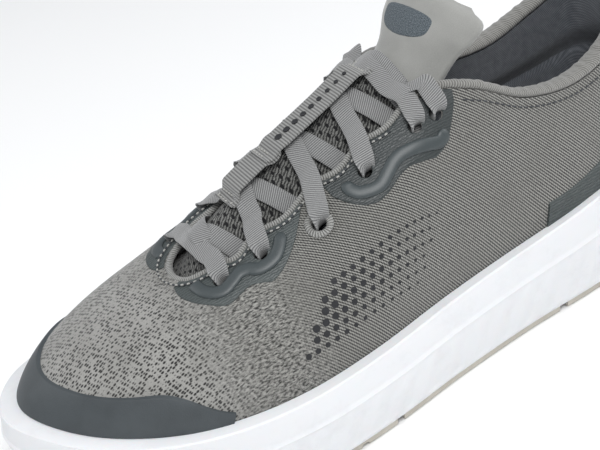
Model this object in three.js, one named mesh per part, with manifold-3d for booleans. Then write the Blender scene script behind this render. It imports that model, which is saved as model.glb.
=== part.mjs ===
// Left running shoe, size EU 42, in millimetres: +X to the toe, +Y to the outer side of the foot, +Z up.
import * as THREE from 'three';
import { mergeVertices } from 'three/addons/utils/BufferGeometryUtils.js';
import Module from 'manifold-3d';

const wasm = await Module();
wasm.setup();

// ---------------------------------------------------------------- driving dimensions
const BOARD_LENGTH = 281; // heel to toe of the line where the upper meets the board
const BALL_WIDTH = 96; // same line across the ball of the foot
const HEEL_HEIGHT = 80; // top of the heel above the board
const TOE_SPRING = 15; // lift of the sole at the tip
const HEEL_BEVEL = 6; // lift of the sole at the back edge
const FLAT_FRONT = 70; // the sole stands flat back from this X
const FLAT_BACK = -95; // and forward from this X
const OUTSOLE_THICKNESS = 3;
const OUTSOLE_INSET = 1.5; // outsole edge inside the midsole edge
const GROOVE_WIDTH = 3; // flex grooves between the rubber blocks
const GROOVE_DEPTH = 1.8;
const SOLE_FLARE = 8; // widest part of the midsole outside the board line
const LIP_FLARE = 5.5; // outer edge of the lip that cups the upper
const FOOT_FLARE = 5; // lower edge of the midsole
const LIP_HEIGHT = 10; // lip above the board
const HEEL_LIP_RISE = 5; // extra lip height round the heel
const UPPER_THICKNESS = 1.3;
const LINING_THICKNESS = 0.9;
const BOARD_THICKNESS = 1.2;
const SOCKLINER_THICKNESS = 4;
const SOCKLINER_CLEARANCE = 1.4; // to the lining, so that it lifts out
const COUNTER_THICKNESS = 1.6; // stiffener round the heel
const PUFF_THICKNESS = 0.8; // stiffener over the toes
const COLLAR_FOAM = 4.8;
const FILM_THICKNESS = 0.5;
const BEAD_THICKNESS = 0.7;
const BUMPER_THICKNESS = 0.9;
const PIPING_RADIUS = 1.3;
const EYELET_RADIUS = 2.6;
const RING_RADIUS = 5; // raised ring round the third eyelet
const RING_SECTION = 1;
const LACE_WIDTH = 5;
const LACE_THICKNESS = 1;
const TONGUE_SKIN = 1.2;
const TONGUE_FOAM = 4;
const STRAP_WIDTH = 12;
const STRAP_THICKNESS = 1.2;
const AGLET_LENGTH = 22;
const AGLET_RADIUS = 1.7;
const TAB_WIDTH = 14; // heel pull loop
const TAB_THICKNESS = 1.6;
const GAP = 0.3; // between pieces that touch

// ---------------------------------------------------------------- last shape
// Twenty-two ribs go round the foot: 0 at the back of the heel, 1 to 10 on the outer side,
// 11 at the toe and 12 to 21 on the inner side. Each row is drawn for the sizes below.
const DRAWN_LENGTH = 281;
const DRAWN_WIDTH = 96;
const DRAWN_HEIGHT = 80;
const RIBS = 22;
const LONG = BOARD_LENGTH / DRAWN_LENGTH;
const WIDE = BALL_WIDTH / DRAWN_WIDTH;
const TALL = HEEL_HEIGHT / DRAWN_HEIGHT;

// x, y, z of the board line
const BOARD_LINE = [
  [-140, 0, 34], [-132, 20, 34], [-112, 31, 33], [-84, 34.5, 32], [-50, 36, 30], [-12, 40, 28],
  [24, 45.5, 26], [56, 47.5, 25], [84, 43, 25], [108, 32.5, 26.5], [128, 16, 29.5], [141, -8, 32],
  [134, -28, 31], [116, -41, 28], [88, -47.5, 25.5], [58, -48.5, 25], [26, -43.5, 26],
  [-10, -35.5, 28], [-48, -30, 30], [-84, -29, 32], [-112, -27, 33], [-132, -18, 34],
].map(([x, y, z]) => [x * LONG, y * WIDE, z]);

// x, y of the top edge and its height above the drawn board: collar, then throat, then collar
const TOP_EDGE = [
  [-142, 0, 114], [-134, 20, 109], [-113, 28.5, 97], [-90, 31, 91], [-66, 31, 95], [-44, 29, 107],
  [-26, 23, 110], [4, 18.5, 97.5], [34, 15, 85], [58, 12, 76], [71, 7, 71.5], [75, -3, 70],
  [71, -13, 71.5], [58, -18, 76], [34, -19.5, 85], [4, -20.5, 97.5], [-26, -23, 110],
  [-44, -28, 107], [-66, -30, 96], [-90, -30, 93], [-113, -28, 99], [-134, -20, 109.5],
].map(([x, y, z]) => [x * LONG, y * WIDE, 34 + (z - 34) * TALL]);

// how each rib bows: out and up from the board line, out and down from the top edge
const BOW = [
  [5, 30, -1, 30], [5, 28, 0, 28], [5, 24, 1, 24], [5, 22, 3, 20], [4, 22, 6, 20], [4, 26, 9, 22],
  [4, 28, 14, 14], [4, 26, 16, 12], [4, 24, 20, 11], [4, 20, 26, 10], [4, 19, 32, 8], [4, 19, 36, 7],
  [4, 19, 32, 8], [4, 20, 26, 10], [4, 24, 20, 11], [4, 26, 16, 12], [4, 28, 14, 14], [2, 26, 9, 22],
  [2, 22, 6, 20], [4, 22, 3, 20], [5, 24, 1, 24], [5, 28, 0, 28],
].map(([out1, up1, out2, down2]) => [out1, up1 * TALL, out2 * WIDE, down2 * TALL]);

const STEP = 0.001; // for slopes of the curves
const UP = new THREE.Vector3(0, 0, 1);
const smooth = THREE.MathUtils.smoothstep;
const { lerp } = THREE.MathUtils;

// one row of a closed table at a place between its rows
function between(table, s) {
  const first = Math.floor(s);
  const f = s - first;
  const row = (k) => table[(((first + k) % table.length) + table.length) % table.length];
  return table[0].map((_, c) => {
    const [a, b, d, e] = [row(-1)[c], row(0)[c], row(1)[c], row(2)[c]];
    const v0 = (d - a) / 2;
    const v1 = (e - b) / 2;
    return (2 * b - 2 * d + v0 + v1) * f ** 3 + (3 * d - 3 * b - 2 * v0 - v1) * f ** 2 + v0 * f + b;
  });
}

const edgePoint = (table, s) => new THREE.Vector3(...between(table, s));

// level direction that points out of a closed line
function outward(table, s) {
  const run = edgePoint(table, s + STEP).sub(edgePoint(table, s - STEP));
  return new THREE.Vector3(-run.y, run.x, 0).normalize();
}

// outer skin of the upper: s goes round the foot, v from the board line (0) to the top edge (1)
function skin(s, v) {
  const low = edgePoint(BOARD_LINE, s);
  const top = edgePoint(TOP_EDGE, s);
  const [out1, up1, out2, down2] = between(BOW, s);
  const first = low.clone().addScaledVector(outward(BOARD_LINE, s), out1).addScaledVector(UP, up1);
  const second = top.clone().addScaledVector(outward(TOP_EDGE, s), out2).addScaledVector(UP, -down2);
  return new THREE.CubicBezierCurve3(low, first, second, top).getPoint(v);
}

function skinNormal(s, v) {
  const along = skin(s + STEP, v).sub(skin(s - STEP, v));
  const rise = skin(s, Math.min(v + STEP, 1)).sub(skin(s, Math.max(v - STEP, 0)));
  return rise.cross(along).normalize();
}

// a point at a depth inside the skin
const inside = (s, v, depth) => skin(s, v).addScaledVector(skinNormal(s, v), -depth);

// v where the skin stands at a height above the board line
function riseTo(s, height) {
  const goal = edgePoint(BOARD_LINE, s).z + height;
  let low = 0;
  let high = 0.7;
  for (let i = 0; i < 24; i += 1) {
    const middle = (low + high) / 2;
    if (skin(s, middle).z < goal) low = middle;
    else high = middle;
  }
  return low;
}

const fromHeel = (s) => Math.min(((s % RIBS) + RIBS) % RIBS, RIBS - (((s % RIBS) + RIBS) % RIBS));
const lipHeight = (s) => LIP_HEIGHT + HEEL_LIP_RISE * (1 - smooth(fromHeel(s), 1.5, 4));
const lipLevel = (s) => riseTo(s, lipHeight(s));

// ---------------------------------------------------------------- solids from grids
function toGeometry(points, triangles) {
  const geometry = new THREE.BufferGeometry();
  const flat = points.flatMap((p) => [p.x, p.y, p.z]);
  geometry.setAttribute('position', new THREE.Float32BufferAttribute(flat, 3));
  geometry.setIndex(triangles.flat());
  return geometry;
}

// a sheet with two faces: outer[i][j] and inner[i][j]; it closes on itself when ring is true
function sheet(outer, inner, ring = false) {
  const ni = outer.length;
  const nj = outer[0].length;
  const points = [...outer.flat(), ...inner.flat()];
  const at = (side, i, j) => side * ni * nj + (i % ni) * nj + j;
  const triangles = [];
  const quad = (a, b, c, d) => triangles.push([a, b, c], [b, d, c]);
  const last = ring ? ni : ni - 1;
  for (let i = 0; i < last; i += 1) {
    for (let j = 0; j < nj - 1; j += 1) {
      quad(at(0, i, j), at(0, i, j + 1), at(0, i + 1, j), at(0, i + 1, j + 1));
      quad(at(1, i, j), at(1, i + 1, j), at(1, i, j + 1), at(1, i + 1, j + 1));
    }
    quad(at(0, i, nj - 1), at(1, i, nj - 1), at(0, i + 1, nj - 1), at(1, i + 1, nj - 1));
    quad(at(1, i, 0), at(0, i, 0), at(1, i + 1, 0), at(0, i + 1, 0));
  }
  for (let j = 0; j < nj - 1 && !ring; j += 1) {
    quad(at(1, 0, j), at(1, 0, j + 1), at(0, 0, j), at(0, 0, j + 1));
    quad(at(0, ni - 1, j), at(0, ni - 1, j + 1), at(1, ni - 1, j), at(1, ni - 1, j + 1));
  }
  return toGeometry(points, triangles);
}

// places along the ribs where every layer has its points, so that layers nest
const PER_RIB = 3;
function placesBetween(from, to) {
  const places = [from];
  for (let k = Math.floor(from * PER_RIB + 1.3); k < to * PER_RIB - 0.3; k += 1) places.push(k / PER_RIB);
  return to - from === RIBS ? places : [...places, to];
}

// a layer of the upper over part of the foot; depths are measured inward from the skin
function layer({ from = 0, to = RIBS, low, high, outer, inner, nv }) {
  const grid = (depth) => placesBetween(from, to).map((s) => {
    return Array.from({ length: nv + 1 }, (__, j) => {
      const v = lerp(low(s), high(s), j / nv);
      return inside(s, v, depth(s, v));
    });
  });
  return sheet(grid(outer), grid(inner), to - from === RIBS);
}

// a body with closed rings of points, from the ring round its underside to the ring round its top
function stack(rings, ns = 66) {
  const points = rings.flatMap((ring) => Array.from({ length: ns }, (_, i) => ring((i / ns) * RIBS)));
  const triangles = [];
  const add = (a, b, c) => {
    if (a !== b && b !== c && a !== c) triangles.push([a, b, c]);
  };
  const at = (r, i) => r * ns + (i % ns);
  for (let r = 0; r < rings.length - 1; r += 1) {
    for (let i = 0; i < ns; i += 1) {
      add(at(r, i), at(r + 1, i), at(r, i + 1));
      add(at(r + 1, i), at(r + 1, i + 1), at(r, i + 1));
    }
  }
  const top = rings.length - 1;
  for (let i = 0; i < ns / 2; i += 1) {
    add(at(0, i), at(0, i + 1), at(0, ns - i));
    add(at(0, i + 1), at(0, ns - i - 1), at(0, ns - i));
    add(at(top, i), at(top, ns - i), at(top, i + 1));
    add(at(top, i + 1), at(top, ns - i), at(top, ns - i - 1));
  }
  return toGeometry(points, triangles);
}

// a bar along a list of stations: each has a centre, two side directions and two half sizes
function bar(stations, sides = 8) {
  const rings = stations.map(({ centre, across, over, half, rise }) => (
    Array.from({ length: sides }, (_, k) => {
      const turn = ((k + 0.5) / sides) * 2 * Math.PI;
      return centre.clone()
        .addScaledVector(across, half * Math.cos(turn))
        .addScaledVector(over, rise * Math.sin(turn));
    })
  ));
  const run = stations[1].centre.clone().sub(stations[0].centre);
  if (stations[0].across.clone().cross(stations[0].over).dot(run) < 0) rings.forEach((ring) => ring.reverse());
  const points = rings.flat();
  const triangles = [];
  for (let i = 0; i < rings.length - 1; i += 1) {
    for (let k = 0; k < sides; k += 1) {
      const next = (k + 1) % sides;
      const [a, b, c, d] = [i * sides + k, i * sides + next, (i + 1) * sides + k, (i + 1) * sides + next];
      triangles.push([a, b, c], [b, d, c]);
    }
  }
  const end = (rings.length - 1) * sides;
  for (let k = 1; k < sides - 1; k += 1) {
    triangles.push([0, k + 1, k], [end, end + k, end + k + 1]);
  }
  return toGeometry(points, triangles);
}

// ---------------------------------------------------------------- joining and cutting
function toSolid(geometry) {
  const bare = geometry.clone();
  bare.deleteAttribute('normal');
  bare.deleteAttribute('uv');
  const merged = mergeVertices(bare, 1e-4);
  return new wasm.Manifold(new wasm.Mesh({
    numProp: 3,
    vertProperties: new Float32Array(merged.attributes.position.array),
    triVerts: new Uint32Array(merged.index.array),
  }));
}

function fromSolid(solid) {
  const { vertProperties, triVerts, numProp } = solid.getMesh();
  const positions = [];
  for (let i = 0; i < vertProperties.length; i += numProp) {
    positions.push(vertProperties[i], vertProperties[i + 1], vertProperties[i + 2]);
  }
  const geometry = new THREE.BufferGeometry();
  geometry.setAttribute('position', new THREE.Float32BufferAttribute(positions, 3));
  geometry.setIndex(Array.from(triVerts));
  return geometry;
}

const cut = (geometry, tools) => fromSolid(tools.reduce((body, tool) => body.subtract(tool), toSolid(geometry)));

function box(lowX, highX, lowY, highY, lowZ, highZ) {
  const geometry = new THREE.BoxGeometry(highX - lowX, highY - lowY, highZ - lowZ);
  return geometry.translate((lowX + highX) / 2, (lowY + highY) / 2, (lowZ + highZ) / 2);
}

// ---------------------------------------------------------------- sole
const ground = (x) => {
  const front = Math.max(0, x - FLAT_FRONT * LONG) / (80 * LONG);
  const back = Math.max(0, FLAT_BACK * LONG - x) / (50 * LONG);
  return TOE_SPRING * front ** 2 + HEEL_BEVEL * back ** 2;
};

// a point outside the board line by a distance, at a height above the ground line of the sole
function soleEdge(s, flare, height) {
  const p = edgePoint(BOARD_LINE, s).addScaledVector(outward(BOARD_LINE, s), flare);
  p.z = ground(p.x) + height;
  return p;
}

// the same, at a height above the board
function lipEdge(s, flare, height) {
  const p = edgePoint(BOARD_LINE, s);
  const level = p.z + height;
  return p.addScaledVector(outward(BOARD_LINE, s), flare).setZ(level);
}

function midsole() {
  const underside = OUTSOLE_THICKNESS + GAP;
  const seat = (share) => (s) => {
    const v = lipLevel(s) * share;
    return inside(s, v, -GAP);
  };
  const floor = (s) => lipEdge(s, GAP, -GAP);
  const sideAt = (share, flare) => (s) => {
    const low = soleEdge(s, flare, underside);
    return low.setZ(lerp(low.z, edgePoint(BOARD_LINE, s).z + lipHeight(s), share));
  };
  return stack([
    (s) => soleEdge(s, FOOT_FLARE - 1.2, underside),
    (s) => soleEdge(s, FOOT_FLARE, underside + 1.2),
    sideAt(0.3, SOLE_FLARE - 0.8),
    sideAt(0.5, SOLE_FLARE),
    sideAt(0.75, SOLE_FLARE - 0.6),
    (s) => lipEdge(s, LIP_FLARE + 1, lipHeight(s) - 1.2),
    (s) => lipEdge(s, LIP_FLARE, lipHeight(s)),
    seat(1),
    seat(0.5),
    floor,
  ]);
}

function outsole() {
  return stack([
    (s) => soleEdge(s, FOOT_FLARE - 1.2 - OUTSOLE_INSET, 0),
    (s) => soleEdge(s, FOOT_FLARE - 1.2, 0.8),
    (s) => soleEdge(s, FOOT_FLARE - 1.2, OUTSOLE_THICKNESS),
  ]);
}

// rubber pads: x from, x to, y from, y to
const WIDEST = 80;
const PADS = {
  outsole_toe: [112, 200, -WIDEST, WIDEST],
  outsole_forefoot_lateral: [22, 109, 2, WIDEST],
  outsole_forefoot_medial: [22, 109, -WIDEST, -2],
  outsole_midfoot_lateral: [-66, 19, 12, WIDEST],
  outsole_heel_lateral: [-200, -70, 2, WIDEST],
  outsole_heel_medial: [-200, -70, -WIDEST, -2],
};
const GROOVES = [-122, -96, 36, 58, 82, 126];

function pads() {
  const whole = toSolid(outsole());
  const grooves = GROOVES.map((x) => toSolid(
    box(x * LONG, x * LONG + GROOVE_WIDTH, -WIDEST, WIDEST, -1, GROOVE_DEPTH + ground(x * LONG)),
  ));
  return Object.entries(PADS).map(([name, [x0, x1, y0, y1]]) => {
    const block = toSolid(box(x0 * LONG, x1 * LONG, y0 * WIDE, y1 * WIDE, -1, 60));
    const pad = grooves.reduce((body, groove) => body.subtract(groove), whole.intersect(block));
    return [name, fromSolid(pad)];
  });
}

function strobelBoard() {
  const edge = UPPER_THICKNESS + GAP;
  return stack([
    (s) => lipEdge(s, -edge, 0),
    (s) => lipEdge(s, -edge, BOARD_THICKNESS),
  ]);
}

// depth of the lining's outer face below the skin, deeper over the heel stiffener, toe stiffener and foam
const PLY = UPPER_THICKNESS + GAP;
function liningDepth(s, v) {
  const h = fromHeel(s);
  const counter = (COUNTER_THICKNESS + GAP) * (1 - smooth(h, 3.3, 4.2)) * (1 - smooth(v, 0.52, 0.62));
  const puff = (PUFF_THICKNESS + 3 * GAP) * smooth(h, 8, 8.8) * (1 - smooth(v, 0.5, 0.62));
  const foam = (COLLAR_FOAM + GAP) * (1 - smooth(h, 4.6, 6)) * smooth(v, 0.54, 0.74);
  return PLY + Math.max(counter, puff, foam);
}

function sockliner() {
  const edge = (height) => (s) => {
    const v = riseTo(s, Math.max(height, 1));
    const p = inside(s, v, liningDepth(s, v) + LINING_THICKNESS + SOCKLINER_CLEARANCE);
    return p.setZ(edgePoint(BOARD_LINE, s).z + height);
  };
  const low = BOARD_THICKNESS + GAP;
  return stack([edge(low), edge(low + SOCKLINER_THICKNESS)]);
}

// ---------------------------------------------------------------- lacing places
// rib and level of each eyelet on the outer side, front to back; the inner side mirrors the rib
const EYELETS = [[9.2, 0.92], [8.44, 0.9], [7.52, 0.8], [6.87, 0.86], [6.17, 0.87], [5.8, 0.88]];
const RINGED = 2; // this eyelet has a raised ring
const EYELET_DEPTH = 12; // length of the drill that makes each hole
const onSide = (s, side) => (side > 0 ? s : RIBS - s);

function eyeletDrills() {
  const drills = [];
  for (const side of [1, -1]) {
    for (const [s, v] of EYELETS) {
      const centre = inside(onSide(s, side), v, 0);
      const axis = skinNormal(onSide(s, side), v);
      const hole = new THREE.CylinderGeometry(EYELET_RADIUS, EYELET_RADIUS, EYELET_DEPTH, 8);
      hole.applyQuaternion(new THREE.Quaternion().setFromUnitVectors(new THREE.Vector3(0, 1, 0), axis));
      hole.translate(centre.x, centre.y, centre.z);
      drills.push(toSolid(hole));
    }
  }
  return drills;
}

// ---------------------------------------------------------------- upper
const flat = (value) => () => value;

const upperMesh = () => layer({
  nv: 7, low: flat(0), high: flat(1), outer: flat(0), inner: flat(UPPER_THICKNESS),
});

function lining() {
  return layer({
    nv: 7,
    low: (s) => riseTo(s, BOARD_THICKNESS + 1),
    high: flat(0.995),
    outer: liningDepth,
    inner: (s, v) => liningDepth(s, v) + LINING_THICKNESS,
  });
}

function heelCounter() {
  return layer({
    from: -3.2, to: 3.2, nv: 6,
    low: (s) => riseTo(s, BOARD_THICKNESS + 1), high: flat(0.5),
    outer: flat(PLY), inner: flat(PLY + COUNTER_THICKNESS - GAP),
  });
}

function toePuff() {
  return layer({
    from: 8.9, to: 13.1, nv: 6,
    low: (s) => riseTo(s, BOARD_THICKNESS + 3), high: flat(0.46),
    outer: flat(PLY + 1.5 * GAP), inner: flat(PLY + 1.5 * GAP + PUFF_THICKNESS),
  });
}

function collarPadding() {
  return layer({
    from: -5, to: 5, nv: 3,
    low: flat(0.7), high: flat(0.97),
    outer: flat(PLY), inner: (s, v) => liningDepth(s, v) - 3 * GAP,
  });
}

function toeBumper() {
  const top = (s) => lipLevel(s) + 0.02 + 0.17 * smooth(s, 8.2, 9.6) * (1 - smooth(s, 12.2, 13.6));
  return layer({
    from: 8.2, to: 13.6, nv: 3,
    low: (s) => lipLevel(s) + 0.012, high: top,
    outer: flat(-GAP - BUMPER_THICKNESS), inner: flat(-GAP),
  });
}

function heelOverlay() {
  const top = (s) => 0.62 - 0.3 * smooth(fromHeel(s), 0.8, 3.6);
  return layer({
    from: -3.6, to: 3.6, nv: 5,
    low: (s) => lipLevel(s) + 0.012, high: top,
    outer: flat(-GAP - FILM_THICKNESS), inner: flat(-GAP),
  });
}

// smooth films round the eyelets and the raised beads on them: ribs from, to and how far down they reach
const FILM_TOP = 0.965;
const FILMS = {
  front: { from: 7.75, to: 10.1, reach: [0.13, 0.2], bead: 0.05 },
  rear: { from: 5.45, to: 7.35, reach: [0.2, 0.24], bead: 0.07 },
};

function film(side, { from, to, reach }, inset, lift, thickness) {
  const low = (s) => {
    const f = (onSide(s, side) - from) / (to - from);
    return FILM_TOP - (lerp(reach[1], reach[0], f) - inset) * Math.sin(Math.PI * THREE.MathUtils.clamp(f, 0.06, 0.94)) ** 0.4;
  };
  const ends = [onSide(from + inset, side), onSide(to - inset, side)].sort((a, b) => a - b);
  return layer({
    from: ends[0], to: ends[1], nv: 2,
    low, high: flat(FILM_TOP),
    outer: flat(-lift - thickness), inner: flat(-lift),
  });
}

// tube beyond the top edge; halves are its half width across the edge and its half height
function edging(from, to, count, halves) {
  const stations = Array.from({ length: count + 1 }, (_, i) => {
    const s = lerp(from, to, i / count);
    const [half, rise, depth] = halves(s);
    const normal = skinNormal(s, 1);
    const run = edgePoint(TOP_EDGE, s + STEP).sub(edgePoint(TOP_EDGE, s - STEP)).normalize();
    const over = run.clone().cross(normal).normalize();
    const centre = edgePoint(TOP_EDGE, s).addScaledVector(normal, -depth).addScaledVector(over, rise + GAP);
    return { centre, across: normal, over, half, rise };
  });
  return bar(stations, 6);
}

const BINDING_START = 6.2;
const BINDING_RADIUS = 1.8; // where it starts beside the throat
const throatPiping = () => edging(
  BINDING_START + 0.06, RIBS - BINDING_START - 0.06, 44, flat([PIPING_RADIUS, PIPING_RADIUS, 1.2]),
);

// thick padded binding, widest over the collar foam
function collarBinding() {
  const halves = (s) => {
    const padded = 1 - smooth(fromHeel(s), 4.6, 6);
    return [lerp(BINDING_RADIUS, 4.2, padded), lerp(BINDING_RADIUS, 2.1, padded), lerp(1.3, 4, padded)];
  };
  return edging(-BINDING_START, BINDING_START, 48, halves);
}

function eyeletRing(side) {
  const [s, v] = EYELETS[RINGED];
  const ring = new THREE.TorusGeometry(RING_RADIUS - RING_SECTION, RING_SECTION, 6, 18);
  ring.applyQuaternion(new THREE.Quaternion().setFromUnitVectors(UP, skinNormal(onSide(s, side), v)));
  const centre = inside(onSide(s, side), v, -RING_SECTION - 3 * GAP);
  return ring.translate(centre.x, centre.y, centre.z);
}

// ---------------------------------------------------------------- tongue
// sections across the tongue from the throat front up; each has five points from inner to outer side
const TONGUE_RIBS = [10.5, 9.8, 9, 8.3, 7.6, 6.9, 6.3];
const TONGUE_CROWN = 9.5; // middle of the tongue above the throat edges
const TONGUE_SEAT = 3.2; // depth under the skin at the sewn front end
const TONGUE_RUN = 2.5 * PIPING_RADIUS + 2.5 * LACE_THICKNESS + 0.25; // depth under the skin where laces pass over it
const TONGUE_TOP = [ // x, half width at the shoulder, half width at the edge, height above the throat end
  [-30, 13, 19, 10], [-38, 16.5, 24.5, 20], [-43, 16.5, 26, 26], [-45.5, 12, 20, 29.5],
];

function tongueSection(rib) {
  const depth = lerp(TONGUE_SEAT, TONGUE_RUN, 1 - smooth(rib, 9.4, 10.4));
  const middle = edgePoint(TOP_EDGE, rib).add(edgePoint(TOP_EDGE, RIBS - rib)).multiplyScalar(0.5);
  middle.z += TONGUE_CROWN * (1 - smooth(rib, 7.8, 10.4)) - depth * 1.3 * smooth(rib, 9, 10.4);
  return [
    inside(RIBS - rib, 0.86, depth), inside(RIBS - rib, 0.985, depth), middle,
    inside(rib, 0.985, depth), inside(rib, 0.86, depth),
  ];
}

function topSection([x, shoulder, edge, height]) {
  const level = edgePoint(TOP_EDGE, 6).z + height;
  const at = (y, drop, back) => new THREE.Vector3((x - back) * LONG, y * WIDE, level - drop);
  return [at(-edge, 7, 9), at(-shoulder, 2.2, 3), at(0, 0, 0), at(shoulder, 2.2, 3), at(edge, 7, 9)];
}

const SECTIONS = [...TONGUE_RIBS.map(tongueSection), ...TONGUE_TOP.map(topSection)];
const TONGUE_END = SECTIONS.length - 1;
const ACROSS = SECTIONS[0].map((_, k) => new THREE.CatmullRomCurve3(SECTIONS.map((row) => row[k]), false, 'catmullrom'));

// t counts sections from the front, b goes from -1 on the inner side to 1 on the outer side
function tonguePoint(t, b) {
  const knots = ACROSS.map((curve) => curve.getPoint(THREE.MathUtils.clamp(t / TONGUE_END, 0, 1)));
  return new THREE.CatmullRomCurve3(knots, false, 'catmullrom').getPoint(THREE.MathUtils.clamp((b + 1) / 2, 0, 1));
}

function tongueNormal(t, b) {
  const e = 0.02;
  const along = tonguePoint(Math.min(t + e, TONGUE_END), b).sub(tonguePoint(Math.max(t - e, 0), b));
  const across = tonguePoint(t, Math.min(b + e, 1)).sub(tonguePoint(t, Math.max(b - e, -1)));
  return across.cross(along).normalize();
}

const onTongue = (t, b, height) => tonguePoint(t, b).addScaledVector(tongueNormal(t, b), height);

// section count for a rib along the throat
function sectionAt(rib) {
  const k = TONGUE_RIBS.findIndex((r) => r <= rib);
  const i = Math.max(k, 1);
  return i - (rib - TONGUE_RIBS[i]) / (TONGUE_RIBS[i - 1] - TONGUE_RIBS[i]);
}

// a layer of the tongue between two heights over its face; all layers share one spacing, so they nest
const T_STEP = 0.5;
const B_STEP = 0.2;
function tongueLayer({ from, to, half, high, low }) {
  const nt = Math.round((to - from) / T_STEP);
  const nb = Math.round((2 * half) / B_STEP);
  const grid = (height) => Array.from({ length: nt + 1 }, (_, i) => {
    const t = lerp(from, to, i / nt);
    return Array.from({ length: nb + 1 }, (__, j) => onTongue(t, lerp(half, -half, j / nb), height));
  });
  return sheet(grid(low), grid(high));
}

const TONGUE_SPLIT = 6.5; // the mesh ends and the brushed top begins here
const foamTop = -TONGUE_SKIN - GAP;
const liningTop = foamTop - TONGUE_FOAM - 1.3 * GAP;
const tongueMesh = () => tongueLayer({ from: 0, to: TONGUE_SPLIT, half: 1, high: 0, low: -TONGUE_SKIN });
const tongueCap = () => tongueLayer({
  from: TONGUE_SPLIT + 0.02, to: TONGUE_END, half: 1, high: 0, low: -TONGUE_SKIN,
});
const tongueFoam = () => tongueLayer({
  from: 1.5, to: TONGUE_END - T_STEP, half: 0.8, high: foamTop, low: foamTop - TONGUE_FOAM,
});
const tongueLining = () => tongueLayer({
  from: 1, to: TONGUE_END, half: 1, high: liningTop, low: liningTop - LINING_THICKNESS,
});
const tonguePatch = () => tongueLayer({ from: 7.5, to: 8.5, half: 0.4, high: GAP + 0.7, low: GAP });

// webbing on the middle of the tongue: tacked down at some ribs, arched over the laces between them
const STRAP_TACKS = [8.3, 7.6, 6.3];
const STRAP_ARCH = 2.4 * LACE_THICKNESS + 0.75; // two laces cross under it
const STRAP_RISE = [0.01, 0.1]; // ribs from a tack to where the strap leaves the tongue and is fully up

function strapHeight(rib) {
  const away = Math.min(...STRAP_TACKS.map((tack) => Math.abs(tack - rib)));
  return GAP + STRAP_THICKNESS / 2 + STRAP_ARCH * smooth(away, ...STRAP_RISE);
}

function strap() {
  const count = 48;
  const stations = Array.from({ length: count + 1 }, (_, i) => {
    const rib = lerp(STRAP_TACKS[0], STRAP_TACKS[STRAP_TACKS.length - 1], i / count);
    const t = tongueAt(rib);
    const up = tongueNormal(t, 0);
    return {
      centre: onTongue(t, 0, strapHeight(rib)), across: new THREE.Vector3(0, 1, 0), over: up,
      half: STRAP_WIDTH / 2, rise: STRAP_THICKNESS / 2,
    };
  });
  return flatBar(stations);
}

// a bar with square edges; half and rise are its true half sizes
function flatBar(stations) {
  const corner = Math.SQRT2;
  return bar(stations.map((st) => ({ ...st, half: st.half * corner, rise: st.rise * corner })), 4);
}

// ---------------------------------------------------------------- lace
const LACE_OVER_SKIN = LACE_THICKNESS + 2.2; // height over the skin beside an eyelet
const LACE_OVER_RING = LACE_THICKNESS + 3.4;
const LACE_OVER_TONGUE = LACE_THICKNESS + 0.35; // height of the lower lace over the tongue
const LACE_ON_SHOULDER = 0.8 * LACE_THICKNESS + 0.28; // its height where it slips under the throat edge
const LACE_OVER_PIPING = PIPING_RADIUS + LACE_THICKNESS + 1.1; // height of the front bar over the tongue
const LACE_LAYER = LACE_THICKNESS + GAP; // extra height of the upper lace where two cross
const LACE_UNDER_SKIN = LACE_THICKNESS / 2 + 3.4; // depth of a lace between the lining and the tongue
const LACE_IN_HOLE = 1.3; // half width where the lace folds through an eyelet
const ribOf = (k) => EYELETS[k][0];
const tongueAt = (rib) => (rib > 6.3 ? sectionAt(rib) : 6 + (6.3 - rib) / 1.6);
const full = LACE_WIDTH / 2;

const eyeletPoint = (k, side, height) => inside(onSide(ribOf(k), side), EYELETS[k][1], -height);

// over the rolled edge of the throat
function edgeCrossing(rib, side) {
  const s = onSide(rib, side);
  const normal = skinNormal(s, 1);
  const rise = inside(s, 1, 0).sub(inside(s, 0.98, 0)).normalize();
  const thick = rib < BINDING_START ? BINDING_RADIUS : PIPING_RADIUS;
  return inside(s, 1, 0).addScaledVector(rise, 2 * thick + GAP).addScaledVector(normal, 1.4 * thick + LACE_THICKNESS);
}

// up through an eyelet from below
const rising = (k, side) => [
  [eyeletPoint(k, side, -LACE_UNDER_SKIN), 2.2],
  [eyeletPoint(k, side, -1.8), LACE_IN_HOLE],
  [eyeletPoint(k, side, 1), LACE_IN_HOLE],
  [eyeletPoint(k, side, k === RINGED ? LACE_OVER_RING : LACE_OVER_SKIN), 1.6],
];

// across the tongue from eyelet k on one side to the next on the other side
function crossing(k, side, layer, underFirst) {
  const rib = (f) => lerp(ribOf(k), ribOf(k + 1), f);
  const on = (f, b, height) => [onTongue(tongueAt(rib(f)), b * side, height), full];
  const under = [
    on(0.14, 0.66, LACE_OVER_TONGUE),
    on(0.23, 0.45, LACE_ON_SHOULDER),
    on(0.31, 0.3, LACE_ON_SHOULDER),
    on(0.39, 0.15, LACE_OVER_TONGUE + layer * 0.3),
  ];
  const above = [
    [edgeCrossing(rib(0.14), side), full],
    on(0.28, 0.27, LACE_OVER_PIPING),
    on(0.36, 0.15, LACE_OVER_TONGUE + layer * 0.7 + 0.4),
  ];
  return [
    ...(underFirst ? under : above),
    on(0.42, 0.1, LACE_OVER_TONGUE + layer),
    on(0.5, 0, LACE_OVER_TONGUE + layer),
    on(0.58, -0.1, LACE_OVER_TONGUE + layer),
    on(0.7, -0.28, LACE_OVER_TONGUE + layer * 0.4),
    on(0.79, -0.45, LACE_ON_SHOULDER),
    on(0.87, -0.62, LACE_OVER_TONGUE),
  ];
}

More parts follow.
